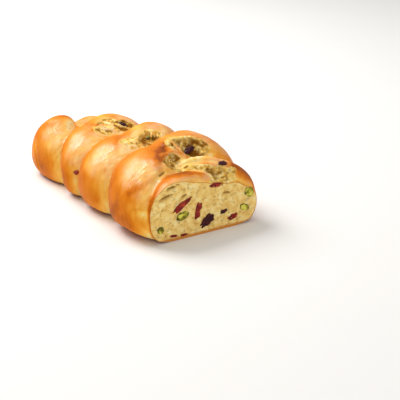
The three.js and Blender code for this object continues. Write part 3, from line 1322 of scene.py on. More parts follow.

# Strokes change tone, relief and torn crumb; those with painted shade darken grooves and holes.
STROKES = (
    Stroke(((15, 227, 49), (11, 195, 59), (7, 172, 57), (-2, 166, 57)), 5.5, bake=-0.2),
    Stroke(((33, 174, 55), (24, 180, 58), (12, 163, 54)), 4.5, bake=-0.22),
    Stroke(((9, 128, 65), (4, 115, 62), (1, 106, 61), (7, 100, 58), (18, 101, 59)), 6.0, bake=-0.22),
    Stroke(((18, 101, 59), (24, 106, 62), (29, 112, 64)), 5.0, bake=-0.2),
    Stroke(((-12, 108, 63), (-8, 100, 59), (-26, 94, 59)), 7.0, bake=-0.18),
    Stroke(((-10, 164, 57), (-4, 159, 54), (6, 161, 53)), 5.0, bake=-0.25, torn=0.25),
    Stroke(((7, 38, 61), (9, 27, 62), (22, 28, 61), (31, 35, 58)), 3.6, bake=-0.22),
    Stroke(((16, 22, 59), (22, 18, 60), (30, 14, 56)), 4.6, bake=0.26, torn=-0.5),
    Stroke(((-4, 57, 68), (-14, 52, 67.5), (-24, 42, 66.5), (-31, 30, 62)), 8.0, bake=0.12),
    Stroke(((-4, 57.5, 68.3), (-13, 51, 67.4), (-22.5, 41, 66.6), (-30, 32, 63.8), (-33, 26, 60.7)), 3.4,
           bake=0.3, rise=0.7),
    Stroke(((-9, 46, 66.5), (-18, 38, 65.4), (-27, 28, 61.4)), 1.8, bake=0.16, rise=-0.9),
    Stroke(((-33.9, 20.5, 54.7), (-29, 22.5, 56)), 1.8, pit=0.7, rise=-0.8),
    Stroke(((9, 163, 54), (16, 163.5, 54.5), (25, 166, 54.5)), 2.6, bake=-0.35, torn=0.25),
    Stroke(((-20, 104, 62.5), (-13, 101, 61), (-6, 98, 58)), 5.0, bake=-0.15, torn=0.75),
    Stroke(((-21, 96, 59.5), (-14, 94, 57)), 3.4, bake=-0.1, torn=0.6),
    Stroke(((-41, 212, 55), (-37, 206, 57), (-32, 203, 58)), 7.0, bake=0.2),
    Stroke(((9, 198, 58.4), (16, 189, 59.6), (25, 181, 59)), 6.0, bake=0.1),
    Stroke(((-51.5, 226, 34), (-53.2, 220, 27), (-53.6, 217, 18), (-52.6, 215, 11)), 1.6,
           bake=-0.15, rise=-1.3),
    Stroke(((-19, 114, 63), (-28, 104.5, 62), (-33.5, 96.5, 59)), 4.0, bake=0.13, rise=0.3),
    Stroke(((-44, 19, 54), (-50, 18, 50), (-56, 22, 47), (-61, 26, 42)), 4.0, bake=0.26),
    Stroke(((-61, 14, 40), (-60, 10, 37)), 8.0, bake=0.2),
    Stroke(((-64, 20, 18), (-61, 8, 16)), 9.0, bake=0.22),
    Stroke(((-49, 8, 45), (-44, 11, 50)), 4.0, bake=-0.16),
    Stroke(((-58, 106, 42), (-54, 112, 46)), 7.0, bake=-0.18),
    Stroke(((-62, 28, 40), (-65, 38, 30), (-65, 50, 18)), 7.0, bake=0.06),
    Stroke(((-63.5, 16, 30.6), (-61.5, 11.5, 31.6), (-58, 4, 32.4)), 1.3, bake=0.12, rise=-0.5),
    Stroke(((-58.5, 6, 33.4), (-56.5, 3, 33.6)), 1.4, pit=0.5, rise=-0.6),
    Stroke(((-61, 9, 28), (-59, 5, 28.5), (-57, 1.5, 29)), 3.0, bake=-0.17, rise=0.3),
    Stroke(((-61.5, 8, 21.5), (-60, 5, 19)), 4.6, bake=0.12),
    Stroke(((-59, 86, 18),), 4.5, bake=0.22),
    Stroke(((-61, 97, 19), (-60, 90, 14)), 5.0, bake=0.06),
    Stroke(((-53, 207, 14), (-52, 194, 16), (-51.5, 188, 22)), 6.0, bake=0.1),
    Stroke(((-56, 152, 24), (-56, 147, 17)), 5.0, bake=0.05),
    Stroke(((-53, 144, 35), (-53, 143, 33)), 1.4, bake=0.3),
    Stroke(((-50, 87, 46), (-51.5, 86, 43)), 1.2, bake=0.28),
    Stroke(((-26, 198, 54), (-20, 202, 54.5)), 4.5, bake=-0.25, torn=0.5),
    Stroke(((-16, 102, 62), (-6, 106, 62), (2, 102, 58)), 5.5, bake=-0.25, torn=0.9),
    Stroke(((-10, 171, 58.5), (1, 184, 56)), 1.2, bake=0.5),
    Stroke(((22, 60, 74), (34, 44, 68)), 4.0, bake=0.1),
    Stroke(((36, 9, 53), (46, 8, 46), (54, 8, 34), (56, 8, 24)), 8.0, bake=0.33),
    Stroke(((18, 20, 60), (28, 15, 59), (38, 11, 54)), 5.0, bake=0.16),
    Stroke(((-55, 0, 35), (-48, 5, 45), (-38, 9, 51), (-25, 13, 55), (-12, 13, 56), (2, 7, 52)), 6.0,
           bake=0.28),
    Stroke(((26, 3, 43.5), (36, 3, 42.5), (44, 3, 38), (50, 3, 34)), 2.6, bake=-0.42),
    Stroke(((11, 4, 46), (18, 5, 47), (25, 4, 45.5)), 3.4, torn=1.0),
    Stroke(((11, 12, 54), (15, 9, 51)), 2.4, pit=0.9, rise=-1.2),
    Stroke(((-41, 210, 58), (-32, 214, 62), (-22, 214, 62)), 5.0, bake=0.22),
    # Painted highlight: a paler patch on the first strand's shoulder where a highlight falls.
    Stroke(((-49, 196, 40), (-46, 190, 48)), 7.0, bake=-0.14),
    Stroke(((-51, 224, 32), (-48, 230, 22)), 6.0, bake=-0.2),
    Stroke(((-11, 36, 60), (-8, 33, 59)), 3.0, pit=0.75),
    Stroke(((13, 49, 62), (20, 46, 60)), 3.0, pit=0.5),
)

FANS = (
    Fan(((-14, 110, 63), (-5, 114, 63.5), (4, 120, 64.5)), ((-8, 97, 58.5), (0, 98, 58), (8, 95, 57)), 6),
    Fan(((22, 96, 57), (26, 104, 61), (28, 114, 64)), ((15, 98, 58), (19, 106, 61), (20, 116, 65)), 3),
    Fan(((0, 200, 59), (8, 194, 59.5), (16, 186, 59)), ((-12, 176, 58), (-3, 172, 57), (6, 166, 55)), 7),
    Fan(((-10, 60, 69), (0, 60, 70), (10, 60, 70.5)), ((-6, 50, 67), (0, 48, 66), (6, 48, 65)), 4),
    Fan(((28, 30, 59), (18, 30, 61), (8, 36, 62)), ((27, 25, 59), (18, 25, 60.5), (8, 30, 61)), 3),
)


LOW = (("angle", 78, 30), ("angle", -75, -20))

TONES = (
    Tone(0.3, (("across", -0.2, 0.5), *LOW)),
    Tone(0.1, LOW),
    Tone(0.14, (("across", 0.4, 0.85), *LOW)),
    Tone(0.08, (("across", 0.2, 0.8),)),
    Tone(-0.2, (("across", -0.3, -0.85),)),
    Tone(0.2, (("angle", 32, -2), ("across", -0.75, -0.3))),
    Tone(0.18, (("angle", 46, 66), ("x", 6, -8), ("across", -0.7, -0.2))),
    Tone(0.12, (("x", -5, 25),)),
    Tone(0.14, (("angle", 56, 80),)),
    Tone(0.17, (("x", 26, 46), ("angle", 0, 30))),
    Tone(-0.16, (("deep", 0.8, 2.4), ("across", 0.3, -0.2))),
    Tone(0.1, (("deep", -0.4, -1.6),)),
    Tone(0.1, (("angle", 34, 20), ("across", -0.5, -0.15), ("across", 0.35, 0.0))),
    Tone(-0.12, (("angle", -10, -30),)),
    Tone(-0.3, (("across", 0.62, 1.0),)),
)

LOOSE = Tone(0.9, (("loose", 2.6, 4.5), ("z", 30, 38), ("y", 205, 190)))

# Painted highlight: where the pale peach is mixed in, on shoulders facing the window and thinly on the
# far sides.
PAINTED_HIGHLIGHT = (
    Tone(1.0, (("angle", 8, 34), ("across", 0.4, -0.2), ("across", -1.0, -0.6))),
    Tone(0.8, (("angle", -10, 20), ("across", 0.5, 0.85))),
)
# Less painted highlight and less coat on the crest at the far end.
DULL_END = Tone(0.65, (("y", 195, 208), ("z", 50, 55)))
DULL_CREST = Tone(0.62, (("across", -0.5, -0.2),))
WASHED = Tone(1.0, (("angle", 96, 84),))
STRETCHED = Tone(1.0, (("across", 0.1, -0.7), ("angle", -50, -10)))
SOLE = Tone(1.0, (("z", 3.0, 0.5),))


class Dressing:
    """Relief, tone and torn places of the crust, worked out for all its points at once.

    Tones above LIMIT rise more slowly, by GIVE at most. ROUNDS say how often numbers spread
    over their neighbours. ON_FOLD and IN_GASH are radii where a strip's mark starts and is full.
    """

    BASE = 0.24
    LIMIT = 0.58
    GIVE = 0.14
    DARKEST = 0.82
    SOLE_TONE = 0.8
    SOLE_HALF = 30.0
    SOLE_FADE = 22.0
    SOLE_RISE = 4.0
    HALF_WIDTH = 66.72
    HEIGHT = 72.88
    EVEN_ROUNDS = 2
    PLACE_ROUNDS = 8
    DEEP_ROUNDS = (40, 3)
    LIP = 0.85
    TORN_EDGE = 1.12
    ON_FOLD = (1.5, 1.0)
    IN_GASH = (1.35, 1.05)

    def __init__(self, surface: Surface) -> None:
        """Finds where the surface's points lie on their strands."""
        surface.points = surface.smoothed(surface.points, self.EVEN_ROUNDS)
        self.surface = surface
        self.points = surface.points
        angle, across, loose = self._on_strands()
        self.place = dict(zip("xyz", self.points.T))
        self.place["angle"] = surface.smoothed(angle, self.PLACE_ROUNDS)
        self.place["across"] = surface.smoothed(across, self.PLACE_ROUNDS)
        wide, fine = self.DEEP_ROUNDS
        self.place["deep"] = surface.smoothed(surface.hollowness(wide), fine)
        self.place["loose"] = loose
        self.bake = self.BASE + sum(tone.at(self.place) for tone in TONES)
        over = (self.bake - self.LIMIT).clip(0)
        self.bake += self.GIVE * (1 - np.exp(-over / self.GIVE)) - over
        self.torn = LOOSE.at(self.place)
        self.pit = np.zeros(len(self.points))
        self.rise = np.zeros(len(self.points))

    def _on_strands(self) -> tuple[np.ndarray, np.ndarray, np.ndarray]:
        """Finds where each point lies on the nearest strand.

        Returns:
            Its angle over the loaf, its place from near to far crease, and its distance in mm.
        """
        samples = [lobe.rings(*lobe.SAMPLES) for lobe in LOBES]
        places = np.vstack([s[0].reshape(-1, 3) for s in samples])
        angles = np.concatenate([s[1].ravel() for s in samples])
        across = np.concatenate([s[2].ravel() for s in samples])
        tree = KDTree(len(places))
        for i, place in enumerate(places):
            tree.insert(place, i)
        tree.balance()
        found = [tree.find(p) for p in self.points]
        nearest = np.array([f[1] for f in found])
        return angles[nearest], across[nearest], np.array([f[2] for f in found])

    def _grain(self, size: Point, seed: int) -> np.ndarray:
        """Noise at the points."""
        return Grain(size, seed).at(self.points)

    def tear(self) -> None:
        """Shows crumb in the hollows and splits, with frayed lips and painted shade in their bottoms."""
        margin = 1.2 + 0.34 * self._grain((7, 7, 7), 64)
        patchy = 0.75 + 0.9 * self._grain((4.5, 4.5, 4.5), 63)
        for hollow in HOLLOWS:
            inside = hollow.inside(self.points, self.TORN_EDGE)
            lips = self.LIP * hollow.inside(self.points, margin)
            self.torn = np.maximum(self.torn, np.maximum(inside, lips))
            # Painted shade: darker low in each hollow, where its walls shade it.
            down = (hollow.at[2] - self.points[:, 2]) / hollow.half[2]
            dark = inside * hollow.dark * patchy * ease(-0.75, 0.4, down)
            self.pit = np.maximum(self.pit, dark)
        for gash in GASHES:
            self.torn = np.maximum(self.torn, gash.torn * gash.near(self.points, *self.IN_GASH))
        self.torn += 0.35 * self._grain((5, 5, 5), 61) * ease(0.05, 0.5, self.torn)
        self.torn = self.surface.smoothed(self.torn, 1)
        edge = ease(0.02, 0.2, self.torn) * ease(0.6, 0.35, self.torn)
        self.bake += edge * (-0.02 + 0.4 * self._grain((7, 7, 7), 62))
        # Painted shade in torn crumb that lies deep under its surroundings.
        self.pit = np.maximum(self.pit, self.torn * ease(1.4, 5.0, self.place["deep"]) * 0.75)

    def mark(self) -> None:
        """Gives the folds their tone and adds every stroke and stretched ridge."""
        for fold in FOLDS:
            near = fold.near(self.points, *self.ON_FOLD)
            self.bake = self.bake * (1 - near) + fold.bake * near
            self.torn = self.torn * (1 - near) + fold.torn * near
            self.pit *= 1 - near
        wobble = 1 + 0.5 * self._grain((6, 6, 6), 17)
        ridges = [stroke for i, fan in enumerate(FANS) for stroke in fan.strokes(i)]
        for stroke in (*STROKES, *ridges):
            far = path_distance(self.points, stroke.path) / (stroke.width * wobble)
            near = np.exp(-(far**2))
            self.bake += stroke.bake * near
            self.torn += stroke.torn * near
            self.rise += stroke.rise * near
            # Painted shade along the grooves and holes that strokes mark.
            self.pit = np.maximum(self.pit, stroke.pit * near)

    def stretch(self) -> None:
        """Streaks the strands along their length and frays the crumb into strings."""
        angle, across = self.place["angle"], self.place["across"]
        crumb = self.torn.clip(0, 1)
        strand = np.stack([angle * 0.9, across * 34, self.points[:, 1] * 0.05], axis=1)
        streak = 0.7 * Grain((11, 2.1, 9), 71).at(strand) + 0.8 * Grain((9, 1.0, 9), 72).at(strand)
        self.bake += 0.05 * streak * ease(1.0, 0.7, np.abs(across)) * (1 - crumb)
        lines = self._grain((5, 1.6, 5), 5) * STRETCHED.at(self.place)
        self.rise += 0.3 * lines + 0.3 * self._grain((9, 9, 9), 8)
        self.bake += 0.1 * lines
        strings = np.abs(self._grain((2.2, 5.5, 2.6), 9))
        strings += 0.5 * np.abs(self._grain((1.6, 3, 1.6), 10))
        self.rise += 1.25 * crumb * (0.3 - strings)
        # Painted shade in the grooves between strings of crumb.
        self.pit = np.maximum(self.pit, 0.55 * crumb * ease(0.3, 0.75, strings))

    def settle(self) -> None:
        """Flattens and browns the sole, and moves the surface."""
        sole = SOLE.at(self.place)
        self.rise *= 1 - sole
        self.bake = self.bake * (1 - sole) + self.SOLE_TONE * sole
        points = self.points + self.surface.normals * self.rise[:, None]
        beyond = (np.abs(self.points[:, 0]) - self.SOLE_HALF).clip(0) / self.SOLE_FADE
        points[:, 2] = np.maximum(points[:, 2], self.SOLE_RISE * beyond**2).clip(0, self.HEIGHT)
        points[:, 0] = points[:, 0].clip(-self.HALF_WIDTH, self.HALF_WIDTH)
        self.surface.points = points

    def store(self) -> None:
        """Keeps the numbers that the finishes and the scattered pieces read."""
        crumb = self.torn.clip(0, 1)
        # Painted highlight mask, which also shapes where the egg wash's coat lies.
        sheen = sum(tone.at(self.place) for tone in PAINTED_HIGHLIGHT) * (1 - DULL_END.at(self.place))
        wash = sheen * WASHED.at(self.place) * (1 - DULL_CREST.at(self.place))
        deep = ease(0.2, 1.2, self.place["deep"]) * ease(4.5, 7, self.points[:, 1])
        kept = {
            "bake": self.surface.smoothed(self.bake, 1).clip(0, self.DARKEST),
            "torn": crumb,
            "torn_deep": ease(0.75, 0.95, self.torn) * deep,
            "wash": (wash * (1 - 0.8 * crumb)).clip(0, 1),
            "sheen": sheen,
            "pit": self.pit.clip(0, 1),
        # Painted shade, read by the finishes and by the scattered pieces.
        }
        for name, values in kept.items():
            self.surface.store(name, values)
        self.surface.write()


@dataclass
class Loaf:
    """The braided crust with its torn places and its cut face.

    Attributes:
        frame: Where it stands.
        coarse: Face size while it is carved, in mm.
        tears: Face size of what carves it, in mm.
        fine: Face size when it is finished, in mm.
    """

    frame: Frame
    coarse: float = 1.5
    tears: float = 1.0
    fine: float = 1.25

    def _dough(self) -> bpy.types.Object:
        """The strands, core and tip as one skin, with tears cut and folds laid in."""
        shells = [lobe.shell() for lobe in LOBES] + [Core().shell(), TIP.shell(0), SEAM.shell(0)]
        dough = mesh_object("loaf_body", shells, self.frame)
        remesh(dough, self.coarse)
        cuts = [cut.shell(i) for i, cut in enumerate((*HOLLOWS, *GASHES))]
        tool = mesh_object("tears", cuts, self.frame)
        remesh(tool, self.tears)
        carve(dough, tool)
        folds = mesh_object("folds", [Shell.tube(f.path, f.radii) for f in FOLDS], self.frame)
        with edited(dough.data) as joined:
            joined.from_mesh(folds.data)
        bpy.data.objects.remove(folds)
        remesh(dough, self.fine)
        return dough

    def build(self) -> list[bpy.types.Object]:
        """Makes the loaf.

        Returns:
            The loaf, and the rags and strings of crumb in its tears.
        """
        dough = self._dough()
        dressing = Dressing(Surface(dough.data, self.frame))
        dressing.tear()
        dressing.mark()
        dressing.stretch()
        dressing.settle()
        dressing.store()
        dough.data.materials.clear()
        crumb = CrumbFinish().material()
        dough.data.materials.append(CrustFinish().material())
        dough.data.materials.append(crumb)
        CutFace(self.frame).close(dough)
        carve(dough, PORES.over(dough, crumb), "TRANSFER")
        scraps = [kind.over(dough, CrustFinish().material()) for kind in (RAGS, STRINGS)]
        for piece in (dough, *scraps):
            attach(piece, BODY)
            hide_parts("loaf")
        return [dough, *scraps]


@dataclass
class CutFace:
    """The flat cut through the crumb: pores, gas holes and the rim of crust round it.

    Attributes:
        frame: Where it stands.
        spacing: Distance between its points, in mm.
        margin: Width of the rim that stays flat, in mm.
    """

    frame: Frame
    spacing: float = 0.9
    margin: float = 1.2

    PROUD = 0.02
    ROW = 0.87
    SCATTER = 0.18
    GAP = 0.6
    SEED = 12
    # Across, up, half width, half height, tilt in degrees, depth.
    HOLES = (
        (-34.5, 48.8, 5.2, 1.6, 6, 2.6),
        (-39.7, 41.2, 8.2, 2.0, 14, 1.9),
        (-21.6, 38.8, 4.0, 1.4, 18, 2.2),
        (-28.0, 50.6, 2.4, 0.7, 4, 1.4),
        (24.0, 33.0, 5.0, 1.5, -8, 1.4),
    )

    def close(self, dough: bpy.types.Object) -> None:
        """Cuts the loaf at the face and fills the opening with fine crumb.

        Args:
            dough: The loaf, whose mesh is changed.
        """
        plane = Vector((0, (self.frame.cut + self.PROUD) * MM, 0))
        with edited(dough.data) as mesh:
            floats = mesh.verts.layers.float
            for name in ("rim", "open"):
                floats.new(name)
            edges = opened(mesh, plane)
            loop = self.ordered(edges)
            outline = np.array([(v.co.x / MM, v.co.z / MM) for v in loop])
            points, faces = self._fill(outline)
            rim, airy, pit = (floats[name] for name in ("rim", "open", "pit"))
            depth, dark, edge = self._relief(points, outline)
            patchy = 0.5 + Grain((9, 9, 9), 35).at(np.insert(points, 1, 0, axis=1))
            spread = ease(0.3, 0.05, edge) * patchy
            corners = list(loop)
            for vert in loop:
                vert[rim] = 1.0
                vert.co.y = plane.y
            for i in range(len(loop), len(points)):
                place = (points[i, 0] * MM, plane.y + depth[i] * MM, points[i, 1] * MM)
                vert = mesh.verts.new(place)
                vert[pit] = dark[i]
                vert[rim] = edge[i]
                vert[airy] = spread[i]
                corners.append(vert)
            for face in faces:
                made = mesh.faces.new([corners[i] for i in face])
                made.material_index = 1
                made.normal_update()
                if made.normal.y > 0:
                    made.normal_flip()
            for line in edges:
                line.smooth = False
            mesh.normal_update()
            for face in mesh.faces:
                face.smooth = True

    @staticmethod
    def ordered(edges: Sequence[bmesh.types.BMEdge]) -> list[bmesh.types.BMVert]:
        """The longest closed loop that boundary edges make, in order."""
        left = set(edges)
        loops: list[list[bmesh.types.BMVert]] = []
        while left:
            edge = left.pop()
            loop = [edge.verts[0], edge.verts[1]]
            while True:
                following = next((e for e in loop[-1].link_edges if e in left), None)
                if following is None:
                    break
                left.remove(following)
                loop.append(following.other_vert(loop[-1]))
            loops.append(loop[:-1] if loop[0] == loop[-1] else loop)
        loops.sort(key=len)
        LOG.info("cut outline has %s points in %s loops", len(loops[-1]), len(loops))
        return loops[-1]

    def _fill(self, outline: np.ndarray) -> tuple[np.ndarray, list[list[int]]]:
        """Fills an outline with scattered points and triangles.

        Args:
            outline: Corners in order, across and up.

        Returns:
            All points, the outline's first, and the triangles.
        """
        low, high = outline.min(axis=0), outline.max(axis=0)
        rng = np.random.default_rng(self.SEED)
        xs = np.arange(low[0], high[0], self.spacing)
        zs = np.arange(low[1], high[1], self.spacing * self.ROW)
        grid = np.array([(x + (j % 2) * self.spacing / 2, z) for j, z in enumerate(zs) for x in xs])
        grid += rng.uniform(-self.SCATTER, self.SCATTER, grid.shape) * self.spacing
        far = self._to_outline(grid, outline)
        grid = grid[self._within(grid, outline) & (far > self.spacing * self.GAP)]
        points = np.vstack([outline, grid])
        ring = list(range(len(outline)))
        result = delaunay_2d_cdt([Vector(p) for p in points], [], [ring], 1, 1e-5, True)
        origin = [o[0] for o in result[3]]
        faces = [[origin[i] for i in f] for f in result[2]]
        middles = np.array([points[f].mean(axis=0) for f in faces])
        return points, [f for f, keep in zip(faces, self._within(middles, outline)) if keep]

    @staticmethod
    def _within(points: np.ndarray, outline: np.ndarray) -> np.ndarray:
        """Which points lie inside an outline."""
        inside = np.zeros(len(points), bool)
        for (x0, z0), (x1, z1) in zip(outline, np.roll(outline, -1, axis=0)):
            spans = (z0 > points[:, 1]) != (z1 > points[:, 1])
            if z0 != z1:
                crossing = (x1 - x0) * (points[:, 1] - z0) / (z1 - z0) + x0
                inside ^= spans & (points[:, 0] < crossing)
        return inside

    @staticmethod
    def _to_outline(points: np.ndarray, outline: np.ndarray) -> np.ndarray:
        """Distance of points to the nearest corner of an outline."""
        nearest = np.full(len(points), 1e9)
        for corner in outline:
            nearest = np.minimum(nearest, np.hypot(*(points - corner).T))
        return nearest

    def _relief(
        self, points: np.ndarray, outline: np.ndarray
    ) -> tuple[np.ndarray, np.ndarray, np.ndarray]:
        """Depth, painted shade and nearness to the rim of the face's points.

        Args:
            points: N points, across and up.
            outline: The corners of the rim.

        Returns:
            How far each point is sunk in mm, how much painted shade darkens it, and 1 at the rim.
        """
        place = np.stack([points[:, 0], np.zeros(len(points)), points[:, 1]], axis=1)
        far = self._to_outline(points, outline)
        inner = ease(0.3, self.margin + 1.0, far)
        pores = ease(0.18, 0.5, Grain((2.4, 2.4, 1.7), 31).at(place))
        small = ease(0.15, 0.5, Grain((1.3, 1.3, 1.1), 32).at(place))
        uneven = 0.45 + 0.3 * Grain((7, 7, 7), 33).at(place)
        depth = inner * (uneven + 0.55 * pores + 0.35 * small)
        # Painted shade: darker where pores sink deeper.
        dark = inner * (0.32 * pores + 0.16 * small)
        for x, z, wide, high, tilt, deep in self.HOLES:
            a = math.radians(tilt)
            dx, dz = points[:, 0] - x, points[:, 1] - z
            along = (dx * math.cos(a) + dz * math.sin(a)) / wide
            up = (dz * math.cos(a) - dx * math.sin(a)) / high
            hole = ease(1.15, 0.6, np.hypot(along, up))
            depth += hole * deep
            # Painted shade in each gas hole, darkest under its upper edge.
            dark = np.maximum(dark, hole * (0.55 + 0.2 * deep) * ease(-1.4, 0.2, up + 0.3 * along))
        edge = ease(1.6, 0.1, far)
        low = 0.55 * ease(4.0, 1.0, points[:, 1]) + 0.3 * ease(17, 3, points[:, 1])
        return depth.clip(0, 4), dark.clip(0, 1), np.maximum(edge, low)


# ---------------------------------------------------------------- fruit


@dataclass(frozen=True)
class Fruit:
    """One dried cranberry or pistachio kernel.

    Attributes:
        name: The node it stands for.
        kind: Which fruit it is.
        at: Its middle.
        half: Its half sizes.
        tilt: Degrees by which +X rises.
        turn: Degrees about Z.
        taper: How much thinner its +X end is.
        waist: How far its middle is pinched.
        point: How pointed both ends are.
    """

    name: str
    kind: FruitKind
    at: Point
    half: Point
    tilt: float = 0.0
    turn: float = 0.0
    taper: float = 0.0
    waist: float = 0.0
    point: float = 0.0

    RINGS = (0.88, 0.74, 0.56, 0.36, 0.16)
    FACETS = (30, 44)
    PINCH = 0.28
    FINE = 0.9
    SUNK = 0.12
    LEAST_SUNK = 0.02
    UNEVEN = 0.22
    RIM = 3.2
    WRINKLE = {FruitKind.CRANBERRY: 0.16, FruitKind.DARK_CRANBERRY: 0.2, FruitKind.PISTACHIO: 0.06}

    def _skin(self) -> Shell:
        """The wrinkled fruit in its place."""
        ball = Shell.ball((1.0, 1.0, 1.0), *self.FACETS)
        x, y, z = ball.points.T
        wrinkle = np.sin(5 * x + self.at[0]) * np.sin(6 * z + self.at[2]) * np.sin(4 * y)
        seed = int(abs(self.at[0]) * 7 + abs(self.at[2]) * 3)
        fine = Grain((0.5, 0.28, 0.28), seed).at(ball.points)
        swell = 1 + self.WRINKLE[self.kind] * (wrinkle + self.FINE * fine)
        girth = (1 - self.taper * x) * (1 - self.waist * np.exp(-((x / self.PINCH) ** 2)))
        girth *= 1 - self.point * x**4
        shaped = ball.points * np.stack([swell, swell * girth, swell * girth], axis=1)
        return Shell(shaped * np.array(self.half), ball.faces).placed(self.at, self.tilt, self.turn)

    def _close_cut(
        self,
        mesh: bmesh.types.BMesh,
        loop: list[bmesh.types.BMVert],
        layer: bmesh.types.BMLayerItem,
    ) -> None:
        """Fills the cut with rings of flesh that sink a little towards the middle.

        Args:
            mesh: The fruit.
            loop: The points of its rim, in order.
            layer: Keeps how far inside the rim a point lies.
        """
        middle = sum((v.co for v in loop), Vector()) / len(loop)
        grain = Grain((1.6, 1.6, 1.6), len(self.name))
        outer = loop
        for share in self.RINGS:
            ring = []
            for vert in loop:
                spot = middle + (vert.co - middle) * share
                bump = grain.at(np.array([spot[:]]) / MM)[0]
                spot.y += max(self.LEAST_SUNK, self.SUNK + self.UNEVEN * bump) * MM
                made = mesh.verts.new(spot)
                made[layer] = min(1.0, (1 - share) * self.RIM)
                ring.append(made)
            self._bridge(mesh, outer, ring)
            outer = ring
        mesh.faces.new(outer)
        bmesh.ops.recalc_face_normals(mesh, faces=mesh.faces)

    @staticmethod
    def _bridge(
        mesh: bmesh.types.BMesh, outer: list[bmesh.types.BMVert], inner: list[bmesh.types.BMVert]
    ) -> None:
        """Joins two rings of the same number of points with faces."""
        for i in range(len(outer)):
            n = (i + 1) % len(outer)
            mesh.faces.new((outer[i], outer[n], inner[n], inner[i]))

    def build(self, frame: Frame, skins: dict[FruitKind, bpy.types.Material]) -> bpy.types.Object:
        """Makes the fruit, cut flat where the knife passed.

        Args:
            frame: Where it stands.
            skins: The material of each kind.

        Returns:
            The object.
        """
        made = mesh_object(f"{self.name}_skin", [self._skin()], frame)
        with edited(made.data) as mesh:
            cut = mesh.verts.layers.float.new("cut")
            rim = opened(mesh, Vector((0, frame.cut * MM, 0)))
            if rim:
                self._close_cut(mesh, CutFace.ordered(rim), cut)
            for face in mesh.faces:
                face.smooth = True
        made.data.materials.append(skins[self.kind])
        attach(made, BODY)
        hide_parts(self.name)
        return made


RED, DARK, NUT = FruitKind


@dataclass
class Filling:
    """All the fruit that shows.

    Attributes:
        frame: Where it stands.
        fruit: The pieces, by the nodes they stand for.
    """

    frame: Frame
    fruit: tuple[Fruit, ...] = (
        Fruit("cranberry_long", RED, (-23.2, 1.5, 31.6), (12.5, 5, 2.7), 29, taper=0.5, point=0.7),
        Fruit("pistachio_round", NUT, (-23.4, 2, 21.2), (6.8, 6, 3.9), 17),
        Fruit("cranberry_upright", RED, (-7.2, 1.5, 22.8), (8, 4, 3.8), 75, waist=0.32),
        Fruit("cranberry_dark", DARK, (2.6, 2, 10.8), (8, 6, 4.2), 32, taper=-0.4),
        Fruit("cranberry_dark_small", DARK, (20.8, 1.5, 16.2), (4, 3.5, 1.6), 14),
        Fruit("pistachio_edge", NUT, (48.7, 2, 29.3), (5.4, 6, 4.6), -35),
        Fruit("cranberry_seam", RED, (13.4, 2, 42.6), (8, 4, 1.9), -4, taper=0.35),
        Fruit("pistachio_low", NUT, (-46.3, 1.5, 12.6), (3.3, 4, 3.6)),
        Fruit("cranberry_sole_left", RED, (-33, 1, 4.6), (4.2, 3, 1.3), -7),
        Fruit("cranberry_sole_middle", RED, (-22, 1, 3.4), (3.2, 3, 1.1)),
        Fruit("cranberry_low", RED, (31, 1.5, 9.5), (5.4, 4, 2.6), 16, taper=0.3),
        Fruit("pistachio_low_right", NUT, (43.5, 2, 15.6), (5.8, 5, 3.2), -22),
        Fruit("cranberry_crust", DARK, (27.5, 12.5, 56.6), (5.2, 3.2, 2.2), -10, 15),
        Fruit("cranberry_tear", DARK, (13.5, 44.5, 63.4), (7.5, 3.4, 2.6), 4, 28),
        Fruit("cranberry_tear_small", RED, (30, 47, 66.4), (2.0, 1.6, 1.2), 20),
        Fruit("cranberry_far_tear", DARK, (17, 170, 54.4), (6, 4.4, 3.6), -8),
        Fruit("pistachio_tear", NUT, (10.5, 106.5, 59.8), (4.2, 3.0, 2.3), 4, 20),
        Fruit("cranberry_side", RED, (-51.8, 139.5, 28), (2.4, 3.4, 1.8), 30),
        Fruit("cranberry_far_side", DARK, (54, 110, 34), (3.4, 4.4, 2.6), -25),
        Fruit("pistachio_far_side", NUT, (50, 163, 30), (3.6, 4.6, 3), -30),
    )

    def build(self) -> list[bpy.types.Object]:
        """Makes every fruit.

        Returns:
            The objects.
        """
        skins = {kind: kind.value.material() for kind in FruitKind}
        return [fruit.build(self.frame, skins) for fruit in self.fruit]


# ---------------------------------------------------------------- studio


@dataclass(frozen=True)
class Softbox:
    """One soft square light.

    Attributes:
        name: Its name.
        at: Where it hangs, in metres.
        size: Its side in metres.
        watts: Its power.
        colour: Its linear colour.
    """

    name: str
    at: Point
    size: float
    watts: float
    colour: Colour = (1.0, 0.97, 0.93)


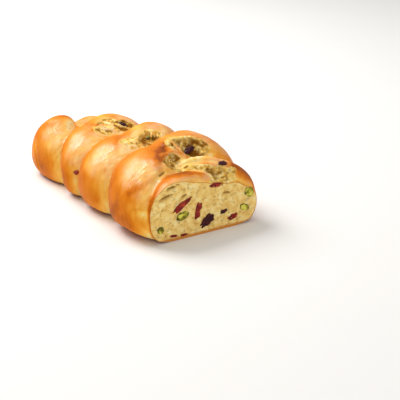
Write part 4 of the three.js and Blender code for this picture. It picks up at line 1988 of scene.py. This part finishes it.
@dataclass
class Studio:
    """Camera, lights and the plain floor.

    Attributes:
        eye: Where the camera stands, in metres.
        aim: Which way it looks.
        lens: Focal length in mm.
        sensor: Width of its film in mm.
        sky: Strength of the white surroundings.
        floor_half: Half the floor's side, in metres.
        lights: The lamps.
    """

    eye: Point = (-0.5678, -0.9446, 0.3952)
    aim: Point = (0.5321, 0.7740, -0.3432)
    lens: float = 108.56
    sensor: float = 36.0
    sky: float = 0.3
    floor_half: float = 4.0
    lights: tuple[Softbox, ...] = (
        Softbox("window", (-0.28, 1.0, 1.08), 1.0, 28.0, (1.0, 0.98, 0.95)),
        Softbox("front_fill", (-0.5, -1.6, 0.7), 1.2, 9.0),
        Softbox("top", (0.3, -0.1, 1.3), 1.0, 4.0),
    )

    def build(self) -> list[bpy.types.Object]:
        """Sets up the studio.

        Returns:
            The floor.
        """
        lens = bpy.data.cameras.new("camera")
        lens.lens = self.lens
        lens.sensor_width = self.sensor
        camera = added("camera", lens)
        camera.location = self.eye
        camera.rotation_mode = "QUATERNION"
        camera.rotation_quaternion = Vector(self.aim).to_track_quat("-Z", "Y")
        bpy.context.scene.camera = camera
        for box in self.lights:
            lamp = bpy.data.lights.new(box.name, "AREA")
            lamp.size = box.size
            lamp.energy = box.watts
            lamp.color = box.colour
            holder = added(box.name, lamp)
            holder.location = box.at
            holder.rotation_mode = "QUATERNION"
            holder.rotation_quaternion = (-Vector(box.at)).to_track_quat("-Z", "Y")
        world = bpy.data.worlds.new("studio")
        world.use_nodes = True
        sky = world.node_tree.nodes["Background"].inputs
        sky["Color"].default_value = (1, 1, 1, 1)
        sky["Strength"].default_value = self.sky
        bpy.context.scene.world = world
        bpy.context.scene.view_settings.view_transform = "Standard"
        mesh = bpy.data.meshes.new("floor")
        half = self.floor_half
        corners = [(-half, -half, 0), (half, -half, 0), (half, half, 0), (-half, half, 0)]
        mesh.from_pydata(corners, [], [(0, 1, 2, 3)])
        mesh.materials.append(FloorFinish().material())
        floor = added("floor", mesh)
        return [floor]


def main() -> None:
    """Builds the loaf in its frame, in order, and reports each piece."""
    logging.basicConfig(level=logging.INFO, format="%(name)s: %(message)s")
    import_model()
    frame = Frame(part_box("loaf")[0].y / MM)
    builders = {"studio": Studio(), "loaf": Loaf(frame), "filling": Filling(frame)}
    for title, builder in builders.items():
        for piece in builder.build():
            piece.data.calc_loop_triangles()
            LOG.info("%s: %s, %s triangles", title, piece.name, len(piece.data.loop_triangles))


if __name__ == "__main__":
    main()
